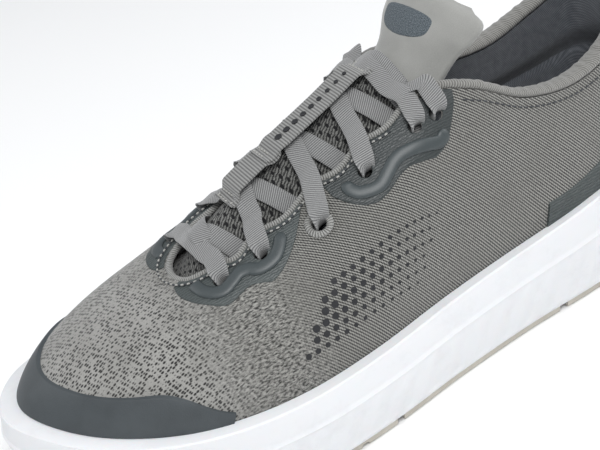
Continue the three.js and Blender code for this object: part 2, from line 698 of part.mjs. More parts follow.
// straight bar across the front eyelets, from its middle to one side and down through the eyelet
function frontBar(side) {
  const t = tongueAt(ribOf(0));
  return [
    [onTongue(t, 0, LACE_OVER_PIPING), full],
    [onTongue(t, 0.14 * side, LACE_OVER_PIPING), full],
    [onTongue(t, 0.24 * side, LACE_OVER_PIPING + 1.4), full],
    [edgeCrossing(ribOf(0), side), full],
    ...rising(0, side).reverse(),
  ];
}

// the end goes over the tongue and down inside the shoe, between tongue and lining
const TAIL = [[6.08, 0.82], [6.2, 0.7], [6.35, 0.6], [6.55, 0.52], [6.8, 0.46], [7.05, 0.42], [7.3, 0.4]];
function tail(side, layer) {
  const t = tongueAt(5.9);
  const away = -side;
  return [
    [edgeCrossing(5.92, side), full],
    [onTongue(t, 0.38 * side, LACE_OVER_PIPING + 0.5), full],
    [onTongue(t, 0.28 * side, LACE_OVER_PIPING), full],
    [onTongue(t, 0.12 * side, LACE_OVER_TONGUE + layer), full],
    [onTongue(t + 0.05, 0, LACE_OVER_TONGUE + layer), full],
    [onTongue(t + 0.05, -0.12 * side, LACE_OVER_TONGUE + layer * 0.7), full],
    [onTongue(t + 0.05, -0.3 * side, LACE_OVER_TONGUE + layer * 0.5), full],
    [onTongue(t + 0.04, -0.45 * side, LACE_OVER_TONGUE), full],
    [onTongue(t + 0.02, -0.6 * side, LACE_OVER_TONGUE), full],
    ...TAIL.map(([rib, v], i) => {
      const s = onSide(rib, away);
      const end = i === TAIL.length - 1;
      const wall = inside(s, v, liningDepth(s, v) + LINING_THICKNESS + 2 + 0.5 * i);
      const flatOn = inside(s, v, 0).sub(inside(s, v + 0.02, 0)).normalize();
      return [wall, end ? AGLET_RADIUS : full, THROAT_LINE.clone().lerp(flatOn, Math.min(i / 3, 1))];
    }),
  ];
}

// half of the lace, from the middle of the front bar to one end
function laceRoute(first) {
  const route = [...frontBar(first)];
  let side = first;
  for (let k = 0; k < EYELETS.length - 1; k += 1) {
    const over = (first > 0) === (k % 2 === 0);
    route.push(...crossing(k, side, over ? LACE_LAYER : 0, k === 0));
    side = -side;
    route.push(...rising(k + 1, side));
  }
  route.push(...tail(side, first > 0 ? LACE_LAYER : 0));
  return route;
}

function laceStations() {
  const left = laceRoute(1);
  const right = laceRoute(-1).slice(1);
  const route = [...right.reverse(), ...left];
  const last = route.length - 1;
  return route.map(([centre, half, wide = THROAT_LINE], i) => {
    const tangent = route[Math.min(i + 1, last)][0].clone().sub(route[Math.max(i - 1, 0)][0]).normalize();
    const across = wide.clone().addScaledVector(tangent, -wide.dot(tangent)).normalize();
    return { centre, across, over: tangent.clone().cross(across), half, rise: laceRise(half) };
  });
}

// the lace keeps its section as it folds: narrower is thicker
const laceRise = (half) => (LACE_THICKNESS / 2) * Math.min(full / half, 1.8);
const THROAT_LINE = edgePoint(TOP_EDGE, 7).sub(edgePoint(TOP_EDGE, 9)).setY(0).normalize();
const stations = laceStations();

const shoelace = () => flatBar(stations);

// metal-hard sleeve on each end of the lace
function aglet(end) {
  const [last, before] = end ? [stations[stations.length - 1], stations[stations.length - 3]] : [stations[0], stations[2]];
  const run = last.centre.clone().sub(before.centre).normalize();
  const sleeve = new THREE.CylinderGeometry(AGLET_RADIUS, AGLET_RADIUS, AGLET_LENGTH, 10);
  sleeve.applyQuaternion(new THREE.Quaternion().setFromUnitVectors(new THREE.Vector3(0, 1, 0), run));
  const centre = last.centre.clone().addScaledVector(run, AGLET_LENGTH / 2 + GAP);
  return sleeve.translate(centre.x, centre.y, centre.z);
}

// ---------------------------------------------------------------- heel pull loop
const TAB_HEIGHT = 21;
const TAB_DEPTH = 6.6;
const TAB_BASE = 0.66; // level of its sewn end on the heel

function pullTab() {
  const outline = (inset) => {
    const [h, d] = [TAB_HEIGHT - inset, TAB_DEPTH / 2 - inset];
    const path = new THREE.Shape();
    path.moveTo(-d, inset);
    path.lineTo(d, inset);
    path.lineTo(d, h - d);
    path.absarc(0, h - d, d, 0, Math.PI, false);
    path.lineTo(-d, inset);
    return path;
  };
  const profile = outline(0);
  profile.holes.push(outline(TAB_THICKNESS));
  const loop = new THREE.ExtrudeGeometry(profile, { depth: TAB_WIDTH, bevelEnabled: false, curveSegments: 8 });
  loop.translate(0, 0, -TAB_WIDTH / 2);
  loop.rotateX(Math.PI / 2);
  const low = inside(0, TAB_BASE, 0);
  const high = inside(0, 0.95, 0);
  const lean = Math.atan2(high.x - low.x, high.z - low.z);
  loop.rotateY(lean);
  return loop.translate(low.x - TAB_DEPTH / 2 - 2 * GAP, 0, low.z);
}

// ---------------------------------------------------------------- colours and assembly
const finish = (color, roughness = 0.85, metalness = 0) => ({ color, roughness, metalness });
const MESH = finish('#8f8c86', 0.9);
const LINING = finish('#55585d', 0.95);
const FOAM = finish('#e8e6e1', 0.8);
const RUBBER = finish('#b9b4aa', 0.7);
const FILM = finish('#6d7682', 0.55);
const BOARD = finish('#c9c5bb', 0.95);
const LACE = finish('#8d8f92', 0.9);
const DARK = finish('#3b3f46', 0.9);
const PALE = finish('#b4b2ae', 0.9);

const drills = eyeletDrills();
const drilled = (geometry) => cut(geometry, drills);

const pieces = [
  ['midsole', midsole(), FOAM],
  ...pads().map(([name, geometry]) => [name, geometry, RUBBER]),
  ['strobel_board', strobelBoard(), BOARD],
  ['sockliner', sockliner(), DARK],
  ['upper_mesh', drilled(upperMesh()), MESH],
  ['lining', drilled(lining()), LINING],
  ['heel_counter', heelCounter(), BOARD],
  ['toe_puff', toePuff(), BOARD],
  ['collar_padding', collarPadding(), FOAM],
  ['toe_bumper', toeBumper(), FILM],
  ['heel_overlay', heelOverlay(), FILM],
  ['throat_piping', throatPiping(), PALE],
  ['collar_binding', collarBinding(), PALE],
  ['tongue_mesh', tongueMesh(), DARK],
  ['tongue_cap', tongueCap(), PALE],
  ['tongue_foam', tongueFoam(), FOAM],
  ['tongue_lining', tongueLining(), LINING],
  ['tongue_patch', tonguePatch(), DARK],
  ['tongue_strap', strap(), PALE],
  ['shoelace', shoelace(), LACE],
  ['aglet_lateral', aglet(true), LACE],
  ['aglet_medial', aglet(false), LACE],
  ['heel_pull_loop', pullTab(), PALE],
];

for (const [side, word] of [[1, 'lateral'], [-1, 'medial']]) {
  for (const [place, shape] of Object.entries(FILMS)) {
    const lift = FILM_THICKNESS + 2 * GAP;
    pieces.push([`film_${place}_${word}`, drilled(film(side, shape, 0, GAP, FILM_THICKNESS)), FILM]);
    pieces.push([`bead_${place}_${word}`, drilled(film(side, shape, shape.bead, lift, BEAD_THICKNESS)), FILM]);
  }
  pieces.push([`eyelet_ring_${word}`, eyeletRing(side), PALE]);
}

const shoe = new THREE.Group();
for (const [name, geometry, look] of pieces) {
  const mesh = new THREE.Mesh(geometry, new THREE.MeshStandardMaterial(look));
  mesh.name = name;
  shoe.add(mesh);
}

// the origin is under the middle of the shoe's own box
const bounds = new THREE.Box3().setFromObject(shoe);
shoe.position.set(-(bounds.min.x + bounds.max.x) / 2, -(bounds.min.y + bounds.max.y) / 2, -bounds.min.z);

export default shoe;
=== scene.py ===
"""A left running shoe, EU 42, built in the order a factory puts it together. Lengths are in millimetres,
with +X to the toe, +Y to the outer side and +Z up, and become metres when a mesh is made."""
import bpy
import numpy as np
from mathutils import Matrix, Vector


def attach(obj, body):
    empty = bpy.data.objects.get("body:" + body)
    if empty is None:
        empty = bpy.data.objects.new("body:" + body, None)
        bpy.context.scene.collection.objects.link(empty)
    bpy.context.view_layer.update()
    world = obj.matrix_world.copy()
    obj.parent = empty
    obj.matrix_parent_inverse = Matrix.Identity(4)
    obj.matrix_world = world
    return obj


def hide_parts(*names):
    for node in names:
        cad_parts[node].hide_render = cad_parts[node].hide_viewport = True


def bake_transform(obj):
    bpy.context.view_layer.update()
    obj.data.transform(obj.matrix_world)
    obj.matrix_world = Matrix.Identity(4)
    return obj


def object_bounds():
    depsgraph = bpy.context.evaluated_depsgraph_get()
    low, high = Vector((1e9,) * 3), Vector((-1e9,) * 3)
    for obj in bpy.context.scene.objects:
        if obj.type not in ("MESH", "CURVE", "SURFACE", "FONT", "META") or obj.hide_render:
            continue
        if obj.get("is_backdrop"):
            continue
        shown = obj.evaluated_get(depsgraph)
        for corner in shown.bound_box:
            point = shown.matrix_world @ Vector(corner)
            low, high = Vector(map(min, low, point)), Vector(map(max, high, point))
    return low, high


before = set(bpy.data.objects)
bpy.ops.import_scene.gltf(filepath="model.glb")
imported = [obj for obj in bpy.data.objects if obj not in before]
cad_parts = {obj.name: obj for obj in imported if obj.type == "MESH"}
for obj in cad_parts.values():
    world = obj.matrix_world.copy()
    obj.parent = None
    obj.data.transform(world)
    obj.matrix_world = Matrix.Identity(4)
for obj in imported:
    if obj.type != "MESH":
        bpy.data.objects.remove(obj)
cad_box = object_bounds()
MM = 0.001

# ---------------------------------------------------------------- studio
# A white sweep of card under two large soft boxes. The shoe stands on the card, and the camera looks
# down on its outer side from beyond the toe.
SWEEP = 4.0
LOOK_AT = np.array([25.1, 8.6, 72.8]) * MM
LAMPS_AIM = Vector((0, 0, 0.05))
AZIMUTH, ELEVATION, ROLL = np.radians([155.6, 30.7, -12.7])
DISTANCE = 0.44
FOCAL_WIDTHS = 1191.8 / 600  # focal length in widths of the picture


def colour(code):
    """An sRGB hex code as linear red, green, blue and alpha: the standard curve, channel by channel."""
    c = np.array([int(code[k:k + 2], 16) for k in (1, 3, 5)]) / 255
    linear = np.where(c <= 0.04045, c / 12.92, ((c + 0.055) / 1.055) ** 2.4)
    return (*linear.tolist(), 1.0)


def material(name, build):
    """A material whose surface settings are what build(add) returns. add makes one node with its settings
    and links, and gives back one of its outputs. The base colour is given as a share and the two tones it
    mixes, and the normal as a bump's strength, distance in metres and height."""
    made = bpy.data.materials.new(name)
    made.use_nodes = True
    tree = made.node_tree
    shader = tree.nodes["Principled BSDF"]

    def fill(socket, value):
        if isinstance(value, bpy.types.NodeSocket):
            tree.links.new(value, socket)
        else:
            socket.default_value = colour(value) if isinstance(value, str) else value

    def add(kind, inputs=(), out=0, **settings):
        made_node = tree.nodes.new("ShaderNode" + kind)
        for key, value in settings.items():
            setattr(made_node, key, value)
        for key, value in inputs.items() if isinstance(inputs, dict) else enumerate(inputs):
            fill(made_node.inputs[key], value)
        return made_node.outputs[out]

    surface = build(add)
    share, dark, light = surface["Base Color"]
    surface["Base Color"] = add("Mix", {0: share, 6: dark, 7: light}, 2, data_type="RGBA")
    if "Normal" in surface:
        surface["Normal"] = add("Bump", dict(zip(("Strength", "Distance", "Height"), surface["Normal"])))
    for socket, value in surface.items():
        fill(shader.inputs[socket], value)
    return made


def grained(tones, rough, grain, relief=None, tone=None, stretch=None, **more):
    """A plain finish: one texture, given as its kind and settings, mixes two tones and stands up in the
    light by relief, a strength and a distance. Where tone is given, that texture mixes the tones instead."""
    def finish(add):
        at = add("TexCoord", out=3)
        at = add("Mapping", {"Vector": at, "Scale": stretch}) if stretch else at
        height = add(grain[0], {"Vector": at, **grain[1]})
        share = add(tone[0], {"Vector": at, **tone[1]}) if tone else height
        surface = {"Base Color": (share, *tones), "Roughness": rough, **more}
        return {**surface, "Normal": (*relief, height)} if relief else surface
    return finish


def place(name, points, faces, looks, spots=None, uv=None, sharp=40):
    """Makes an object from points in millimetres and four-sided faces, all as arrays. spots gives each
    corner's row in uv. Edges bent by more than sharp degrees stay crisp."""
    mesh = bpy.data.meshes.new(name)
    mesh.from_pydata((points.reshape(-1, 3) * MM).tolist(), [], faces.tolist())
    if uv is not None:
        layer = mesh.uv_layers.new(name="cloth")
        layer.data.foreach_set("uv", uv.reshape(-1, 2)[spots.ravel()].astype(np.float32).ravel())
    mesh.materials.append(looks)
    mesh.shade_smooth()
    mesh.set_sharp_from_angle(angle=np.radians(sharp))
    made = bpy.data.objects.new(name, mesh)
    bpy.context.scene.collection.objects.link(made)
    return made


card = material("matt_white_card", grained(("#f4f4f3", "#f8f8f8"), 0.9, ("TexNoise", {"Scale": 900.0})))
span = np.linspace(-SWEEP, SWEEP, 3) / MM
sweep = place("floor", np.stack(np.meshgrid(span, span, [-0.02], indexing="ij"), -1), np.array(
    [[0, 3, 4, 1], [1, 4, 5, 2], [3, 6, 7, 4], [4, 7, 8, 5]]), card)
sweep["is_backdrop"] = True

level = np.array([np.cos(AZIMUTH), np.sin(AZIMUTH), 0.0])
back = np.array([level[1], -level[0], np.tan(ELEVATION)]) * np.cos(ELEVATION)
upright = np.cross(back, level)
right = np.cos(ROLL) * level + np.sin(ROLL) * upright
upward = np.cos(ROLL) * upright - np.sin(ROLL) * level
pose = np.eye(4)
pose[:3, :4] = np.stack([right, upward, back, LOOK_AT + back * DISTANCE], 1)
camera = bpy.data.objects.new("camera", bpy.data.cameras.new("camera"))
bpy.context.scene.collection.objects.link(camera)
camera.matrix_world = Matrix(pose.tolist())
camera.data.lens = FOCAL_WIDTHS * camera.data.sensor_width
camera.data.clip_start = 0.01
bpy.context.scene.camera = camera
bpy.context.scene.view_settings.view_transform = "Standard"

world = bpy.data.worlds.new("white_room")
world.use_nodes = True
world.node_tree.nodes["Background"].inputs[0].default_value = colour("#f2f5fa")
world.node_tree.nodes["Background"].inputs[1].default_value = 0.5
bpy.context.scene.world = world
for name, spot, power, size in (
        ("key_softbox", (0.25, 0.75, 1.15), 12.0, 0.6),
        ("fill_softbox", (0.9, -0.7, 0.9), 4.0, 0.9),
        ("heel_softbox", (-0.9, 0.2, 0.8), 5.0, 0.8)):
    lamp = bpy.data.objects.new(name, bpy.data.lights.new(name, "AREA"))
    lamp.data.energy = power
    lamp.data.size = size
    lamp.location = spot
    lamp.rotation_euler = (LAMPS_AIM - Vector(spot)).to_track_quat("-Z", "Y").to_euler()
    bpy.context.scene.collection.objects.link(lamp)

# ---------------------------------------------------------------- upper
# One piece of jacquard-knitted polyester: open and pale with small holes over the toes, close with a fine
# diagonal pinstripe on the quarters. It is pulled over the last and sewn to the board underneath.
RIBS = 22  # ribs round the foot: 0 at the heel, 1 to 10 outer side, 11 toe, 12 to 21 inner side
BOARD_LINE = np.array([  # x, y, z of the sewn lower edge
    [-140, 0, 34], [-132, 20, 34], [-112, 31, 33], [-84, 34.5, 32], [-50, 36, 30], [-12, 40, 28],
    [24, 45.5, 26], [56, 47.5, 25], [84, 43, 25], [108, 32.5, 26.5], [128, 16, 29.5], [141, -8, 32],
    [134, -28, 31], [116, -41, 28], [88, -47.5, 25.5], [58, -48.5, 25], [26, -43.5, 26],
    [-10, -35.5, 28], [-48, -30, 30], [-84, -29, 32], [-112, -27, 33], [-132, -18, 34]])
TOP_EDGE = np.array([  # x, y, z of the top edge: collar, throat, collar
    [-142, 0, 114], [-134, 20, 109], [-113, 28.5, 97], [-90, 31, 91], [-66, 31, 95], [-44, 29, 107],
    [-26, 23, 110], [4, 18.5, 97.5], [34, 15, 85], [58, 12, 76], [71, 7, 71.5], [75, -3, 70],
    [71, -13, 71.5], [58, -18, 76], [34, -19.5, 85], [4, -20.5, 97.5], [-26, -23, 110],
    [-44, -28, 107], [-66, -30, 96], [-90, -30, 93], [-113, -28, 99], [-134, -20, 109.5]])
BOW = np.array([  # out and up from the lower edge, out and down from the top edge
    [5, 30, -1, 30], [5, 28, 0, 28], [5, 24, 1, 24], [5, 22, 3, 20], [4, 22, 6, 20], [4, 26, 9, 22],
    [4, 28, 14, 14], [4, 26, 16, 12], [4, 24, 20, 11], [4, 20, 26, 10], [4, 19, 32, 8], [4, 19, 36, 7],
    [4, 19, 32, 8], [4, 20, 26, 10], [4, 24, 20, 11], [4, 26, 16, 12], [4, 28, 14, 14], [2, 26, 9, 22],
    [2, 22, 6, 20], [4, 22, 3, 20], [5, 24, 1, 24], [5, 28, 0, 28]])
CENTRING = np.array([0.218, 0.661, 0.0])  # puts the origin under the middle of the whole shoe
UPPER_THICKNESS = 1.3
GAP = 0.3
EYELETS = np.array([[9.2, 0.92], [8.44, 0.9], [7.52, 0.8], [6.87, 0.86], [6.17, 0.87], [5.8, 0.88]])
EYELET_RADIUS = 2.6
SCALLOP = 0.035  # how far the throat edge dips between eyelets, as a share of the rib
UP = np.array([0.0, 0.0, 1.0])
STEP = 1e-3
PIN_PITCH = 0.95  # spacing of the pinstripe
HOLE_PITCH = 2.0  # spacing of the toe holes


def smooth(x, low, high):
    """0 below low, 1 above high and the cubic 3t^2 - 2t^3 between them."""
    t = np.clip((x - low) / (high - low), 0, 1)
    return t * t * (3 - 2 * t)


def unit(v):
    """Each vector divided by its length."""
    return v / np.linalg.norm(v, axis=-1, keepdims=True)


def blend4(a, b, c, d, f):
    """The Catmull-Rom cubic through b and c with slopes half of c - a and half of d - b."""
    s0, s1 = (c - a) / 2, (d - b) / 2
    return (2 * b - 2 * c + s0 + s1) * f ** 3 + (3 * c - 3 * b - 2 * s0 - s1) * f ** 2 + s0 * f + b


def between(table, s):
    """A closed table read at a place between its rows, by the Catmull-Rom cubic of four rows."""
    first = np.floor(s).astype(int)
    rows = [table[(first + k) % len(table)] for k in (-1, 0, 1, 2)]
    return blend4(*rows, (s - first)[..., None])


def outward(table, s):
    """The level direction out of a closed line: its slope turned by a right angle."""
    run = between(table, s + STEP) - between(table, s - STEP)
    return unit(np.stack([-run[..., 1], run[..., 0], 0 * run[..., 0]], -1))


def skin(s, v):
    """The outer skin: at rib s a Bezier cubic from the lower edge (v = 0) to the top edge (v = 1)."""
    s, v = np.broadcast_arrays(np.asarray(s, float), np.asarray(v, float))
    low, top, bow, v = between(BOARD_LINE, s), between(TOP_EDGE, s), between(BOW, s), v[..., None]
    first = low + outward(BOARD_LINE, s) * bow[..., :1] + UP * bow[..., 1:2]
    second = top + outward(TOP_EDGE, s) * bow[..., 2:3] - UP * bow[..., 3:4]
    return low * (1 - v) ** 3 + 3 * first * v * (1 - v) ** 2 + 3 * second * v ** 2 * (1 - v) + top * v ** 3


def facing(s, v):
    """The direction out of the skin: the cross product of its slopes along v and s."""
    v = np.asarray(v, float)
    along = skin(s + STEP, v) - skin(s - STEP, v)
    rise = skin(s, np.minimum(v + STEP, 1)) - skin(s, np.maximum(v - STEP, 0))
    return unit(np.cross(rise, along))


def inside(s, v, depth):
    """A point of the skin moved inward along its normal by a depth."""
    return skin(s, v) - facing(s, v) * np.asarray(depth, float)[..., None]


def on_side(s, side):
    """A rib of the outer side, or its partner on the inner side."""
    return s if side > 0 else RIBS - s


def from_heel(s):
    """How many ribs away the back of the heel is, the shorter way round."""
    return np.minimum(s % RIBS, RIBS - s % RIBS)


def throat_level(s):
    """Where the knit ends at the top: 1, less a wave that is deepest half way between eyelets."""
    along = np.interp(np.where(s % RIBS > 11, RIBS - s % RIBS, s % RIBS), EYELETS[::-1, 0], np.arange(6))
    return 1 - SCALLOP * np.sin(np.pi * along) ** 2 * (along > 1)


def loft(name, points, looks, ring_u=False, ring_v=False, uv=None, sharp=40):
    """Joins rows of points into a closed skin. A ring runs back to its start; where only the columns run
    round, strips across the first and last rows close the ends. Faces turn outward, by signed volume."""
    points = points + CENTRING
    ni, nj = points.shape[:2]
    i, j = np.meshgrid(np.arange(ni - (not ring_u)), np.arange(nj - (not ring_v)), indexing="ij")
    corners = [(i, j), (i + 1, j), (i + 1, j + 1), (i, j + 1)]
    faces = np.stack([(a % ni) * nj + b % nj for a, b in corners], -1).reshape(-1, 4)
    spots = np.stack([a * (nj + ring_v) + b for a, b in corners], -1).reshape(-1, 4)
    if ring_v and not ring_u:
        k = np.arange(nj // 2 - 1)
        front = np.stack([k, k + 1, nj - 2 - k, nj - 1 - k], -1)
        ends = [(front, 0), (front[:, ::-1], ni - 1)]
        faces = np.concatenate([faces, *(f + row * nj for f, row in ends)])
        spots = np.concatenate([spots, *(f + row * (nj + 1) for f, row in ends)])
    p = points.reshape(-1, 3)[faces]
    volume = np.einsum("ij,ij->", p[:, 0], np.cross(p[:, 1], p[:, 2]) + np.cross(p[:, 2], p[:, 3]))
    if volume < 0:
        faces, spots = faces[:, ::-1], spots[:, ::-1]
    return place(name, points, faces, looks, spots, uv, sharp)


def fit(made, node, body="root"):
    """Says which body a piece moves with and which designed node it stands in for."""
    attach(made, body)
    if node:
        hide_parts(node)


def swing(a, b, turn):
    """Directions turned by each angle from a toward b: a cos + b sin."""
    return a[..., None, :] * np.cos(turn)[:, None] + b[..., None, :] * np.sin(turn)[:, None]


def ply(name, s, v, outer, inner, looks, ring=False):
    """A ply of the upper between two depths under the skin, on a grid of ribs s and levels v. Its cloth
    coordinates are x and 0.75 of the way out and down from the crest, negative on the inner side."""
    s, v = np.broadcast_arrays(s[:, None], v)
    outer, inner = np.broadcast_to(outer, s.shape), np.broadcast_to(inner, s.shape)
    points = np.concatenate([inside(s, v, outer), inside(s, v, inner)[:, ::-1]], 1)
    closed = np.concatenate([points, points[:, :1]], 1)
    closed = np.concatenate([closed, closed[:1]], 0) if ring else closed
    x, y, z = np.moveaxis(closed, -1, 0)
    crest = skin(11.0, np.linspace(1, 0, 60))
    down = np.abs(y + 2) + np.interp(x, crest[:, 0], crest[:, 2]) - z
    cloth = np.stack([x, 0.75 * np.where(y > -2, down, -down)], -1)
    return loft(name, points, looks, ring_u=ring, ring_v=True, uv=cloth)


def ribs(low, high, per_rib=20):
    """Evenly spaced ribs from low to high; a full turn leaves out its last, which is the first again."""
    count = int(round((high - low) * per_rib))
    return np.linspace(low, high, count + (high - low < RIBS), endpoint=high - low < RIBS)


def levels(low, high, count):
    """Even steps of v from low to high, where either may change from rib to rib."""
    low, high = np.broadcast_arrays(low, high)
    return low[:, None] + (high - low)[:, None] * np.linspace(0, 1, count)


def punch(piece):
    """Cuts the lace holes: a boolean with a drill along the skin's normal at each eyelet."""
    drills = []
    turn = np.linspace(0, 2 * np.pi, 32, endpoint=False)
    for side in (1, -1):
        s, v = on_side(EYELETS[:, 0], side), EYELETS[:, 1]
        axis = facing(s, v)
        across = unit(np.cross(axis, UP))
        disc = swing(across, np.cross(axis, across), turn)
        for k in range(len(s)):
            rows = [skin(s[k], v[k]) + axis[k] * h + disc[k] * EYELET_RADIUS for h in (-6, 6)]
            drills.append(loft("drill", np.stack(rows), knit, ring_v=True))
    bpy.context.view_layer.update()
    with bpy.context.temp_override(active_object=drills[0], selected_editable_objects=drills):
        bpy.ops.object.join()
    cutter = piece.modifiers.new("holes", "BOOLEAN")
    cutter.object = drills[0]
    cutter.solver = "EXACT"
    bpy.context.view_layer.update()
    cut = bpy.data.meshes.new_from_object(piece.evaluated_get(bpy.context.evaluated_depsgraph_get()))
    piece.modifiers.clear()
    piece.data = cut
    bpy.data.objects.remove(drills[0])
    return piece


def knit_finish(add):
    """Pinstripe: a sine across the diagonal, broken into stitches. Toe: dark ovals on a staggered grid.
    A noise-edged mask along the shoe turns one into the other."""
    cloth = add("UVMap", uv_map="cloth")
    forward = add("SeparateXYZ", [cloth], 0)
    ragged = add("TexNoise", {"Vector": cloth, "Scale": 0.35, "Detail": 3.0})
    fine = add("TexNoise", {"Vector": cloth, "Scale": 2.6, "Detail": 2.0})
    across = add("VectorMath", (cloth, (0.67, 0.74, 0)), 1, operation="DOT_PRODUCT")
    along = add("VectorMath", (cloth, (0.74, -0.67, 0)), 1, operation="DOT_PRODUCT")
    wander = add("Math", (fine, 0.5, across), operation="MULTIPLY_ADD")
    phase = add("Math", (wander, 2 * np.pi / PIN_PITCH), operation="MULTIPLY")
    pin = add("Math", [phase], operation="SINE")
    step = add("Math", (along, 5.4), operation="MULTIPLY")
    hop = add("Math", (phase, 0.7, step), operation="MULTIPLY_ADD")
    stitch = add("Math", [hop], operation="SINE")
    broken = add("Math", (stitch, 0.45, pin), operation="MULTIPLY_ADD")
    stripes = add("MapRange", (broken, -1.0, 1.2), interpolation_type="SMOOTHSTEP")
    fleck_at = add("Mapping", {"Vector": cloth, "Rotation": (0, 0, 0.45), "Scale": (0.55, 1.25, 1)})
    fleck = add("TexNoise", {"Vector": fleck_at, "Scale": 1.1, "Detail": 1.5, "Roughness": 0.7})
    flecks = add("MapRange", (fleck, 0.36, 0.62))
    hole_at = add("Mapping", {"Vector": cloth, "Rotation": (0, 0, 0.5),
                              "Scale": (1 / HOLE_PITCH, 1.5 / HOLE_PITCH, 1)})
    leaning = add("Mapping", {"Vector": hole_at, "Rotation": (0, 0, 0.785), "Scale": (1.3, 1.3, 1)})
    spot = add("TexVoronoi", {"Vector": leaning, "Scale": 1.0, "Randomness": 0.45})
    holes = add("MapRange", (spot, 0.26, 0.5), interpolation_type="SMOOTHSTEP")
    uneven = add("MapRange", (fine, 0.3, 0.7, 0.75, 1.0))
    open_knit = add("Math", (holes, uneven), operation="MULTIPLY")
    where = add("Math", (ragged, 26.0, forward), operation="MULTIPLY_ADD")
    toe = add("MapRange", (where, 72.0, 106.0), interpolation_type="SMOOTHSTEP")
    middle = add("MapRange", (where, 44.0, 74.0), interpolation_type="SMOOTHSTEP")
    close_knit = add("Mix", {0: middle, 2: stripes, 3: flecks}, 0, data_type="FLOAT")
    pattern = add("Mix", {0: toe, 2: close_knit, 3: open_knit}, 0, data_type="FLOAT")
    light = add("Mix", {0: toe, 6: "#9b9a95", 7: "#a09f9b"}, 2, data_type="RGBA")
    yarn = add("Mix", {0: pattern, 6: "#2b2b2a", 7: light}, 2, data_type="RGBA")
    tone = add("TexNoise", {"Vector": cloth, "Scale": 0.05, "Detail": 2.0})
    worn = add("MapRange", (tone, 0.4, 0.7, 0.0, 0.25))
    return {
        "Base Color": (worn, yarn, "#65645f"), "Roughness": 0.88,
        "Sheen Weight": 0.25, "Sheen Roughness": 0.5, "Specular IOR Level": 0.25,
        "Normal": (0.8, 0.00035, pattern),
    }


knit = material("jacquard_knit", knit_finish)
round_foot = ribs(0, RIBS)
upper = punch(ply("upper_mesh_knit", round_foot, levels(0.0, throat_level(round_foot), 60), 0,
                  UPPER_THICKNESS, knit, ring=True))
fit(upper, "upper_mesh")

# ---------------------------------------------------------------- lining
# A soft circular-knitted polyester bonded to thin foam, sewn in so that it shows round the mouth. It goes
# deeper over the heel stiffener, the toe stiffener and the collar foam.
LINING_THICKNESS = 0.9
PLY = UPPER_THICKNESS + GAP
COUNTER = 1.6
PUFF = 0.8
COLLAR_FOAM = 4.8
BOARD_THICKNESS = 1.2
LOOP_PITCH = 2 * np.pi / 6.9  # spacing of the knitted loops


def lining_depth(s, v):
    """Depth of the lining's outer face: one ply, plus the thickest of what lies behind it there."""
    h = from_heel(s)
    counter = (COUNTER + GAP) * (1 - smooth(h, 3.3, 4.2)) * (1 - smooth(v, 0.52, 0.62))
    puff = (PUFF + 3 * GAP) * smooth(h, 8, 8.8) * (1 - smooth(v, 0.5, 0.62))
    foam = (COLLAR_FOAM + GAP) * (1 - smooth(h, 4.6, 6)) * smooth(v, 0.54, 0.74)
    return PLY + np.maximum(counter, np.maximum(puff, foam))


def rise_to(s, height):
    """The level v where the skin stands at a height above the lower edge, by halving an interval."""
    goal = between(BOARD_LINE, s)[..., 2] + height
    low, high = np.zeros_like(goal), np.full_like(goal, 0.7)
    for _ in range(20):
        middle = (low + high) / 2
        under = skin(s, middle)[..., 2] < goal
        low, high = np.where(under, middle, low), np.where(under, high, middle)
    return low


def lining_finish(add):
    """Rows of small knitted loops: the product of two sines across the cloth."""
    cloth = add("UVMap", uv_map="cloth")
    ways = [add("SeparateXYZ", [cloth], k) for k in (0, 1)]
    turns = [add("Math", (way, 2 * np.pi / LOOP_PITCH), operation="MULTIPLY") for way in ways]
    wale, course = (add("Math", [turn], operation="SINE") for turn in turns)
    loops = add("Math", (wale, course), operation="MULTIPLY")
    share = add("MapRange", (loops, -1.0, 1.0))
    haze = add("TexNoise", {"Vector": cloth, "Scale": 0.4, "Detail": 4.0})
    mixed = add("Math", (share, haze), operation="MULTIPLY")
    return {
        "Base Color": (mixed, "#3e4146", "#84888e"),
        "Roughness": 0.95, "Sheen Weight": 0.35, "Specular IOR Level": 0.2,
        "Normal": (0.5, 0.0003, share),
    }


lining_knit = material("brushed_lining_knit", lining_finish)
lining_v = levels(rise_to(round_foot, BOARD_THICKNESS + 1), throat_level(round_foot) - 0.005, 50)
lining_out = lining_depth(round_foot[:, None], lining_v)
lining = punch(ply("lining_knit_sock", round_foot, lining_v, lining_out, lining_out + LINING_THICKNESS,
                   lining_knit, ring=True))
fit(lining, "lining")

# ---------------------------------------------------------------- hidden stiffeners and foam
# Fibreboard that the upper is sewn to, thermoformed stiffeners at heel and toe, and cut polyurethane foam in
# the collar and tongue. They stay as they were designed, between the plies.


def refinish(looks, *names):
    """Gives designed parts that stay as they are a material."""
    for name in names:
        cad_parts[name].data.materials.clear()
        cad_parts[name].data.materials.append(looks)


fibreboard = material("pressed_fibreboard", grained(
    ("#b9b4a6", "#dad6cb"), 0.95, ("TexNoise", {"Scale": 1.0, "Detail": 4.0}), (0.3, 0.0002),
    stretch=(400, 1600, 900)))
foam = material("cut_polyurethane_foam", grained(
    ("#a9a69e", "#e2dfd7"), 0.95, ("TexVoronoi", {"Scale": 2000.0}), (0.4, 0.0002)))
refinish(fibreboard, "strobel_board", "heel_counter", "toe_puff")
refinish(foam, "collar_padding", "tongue_foam")

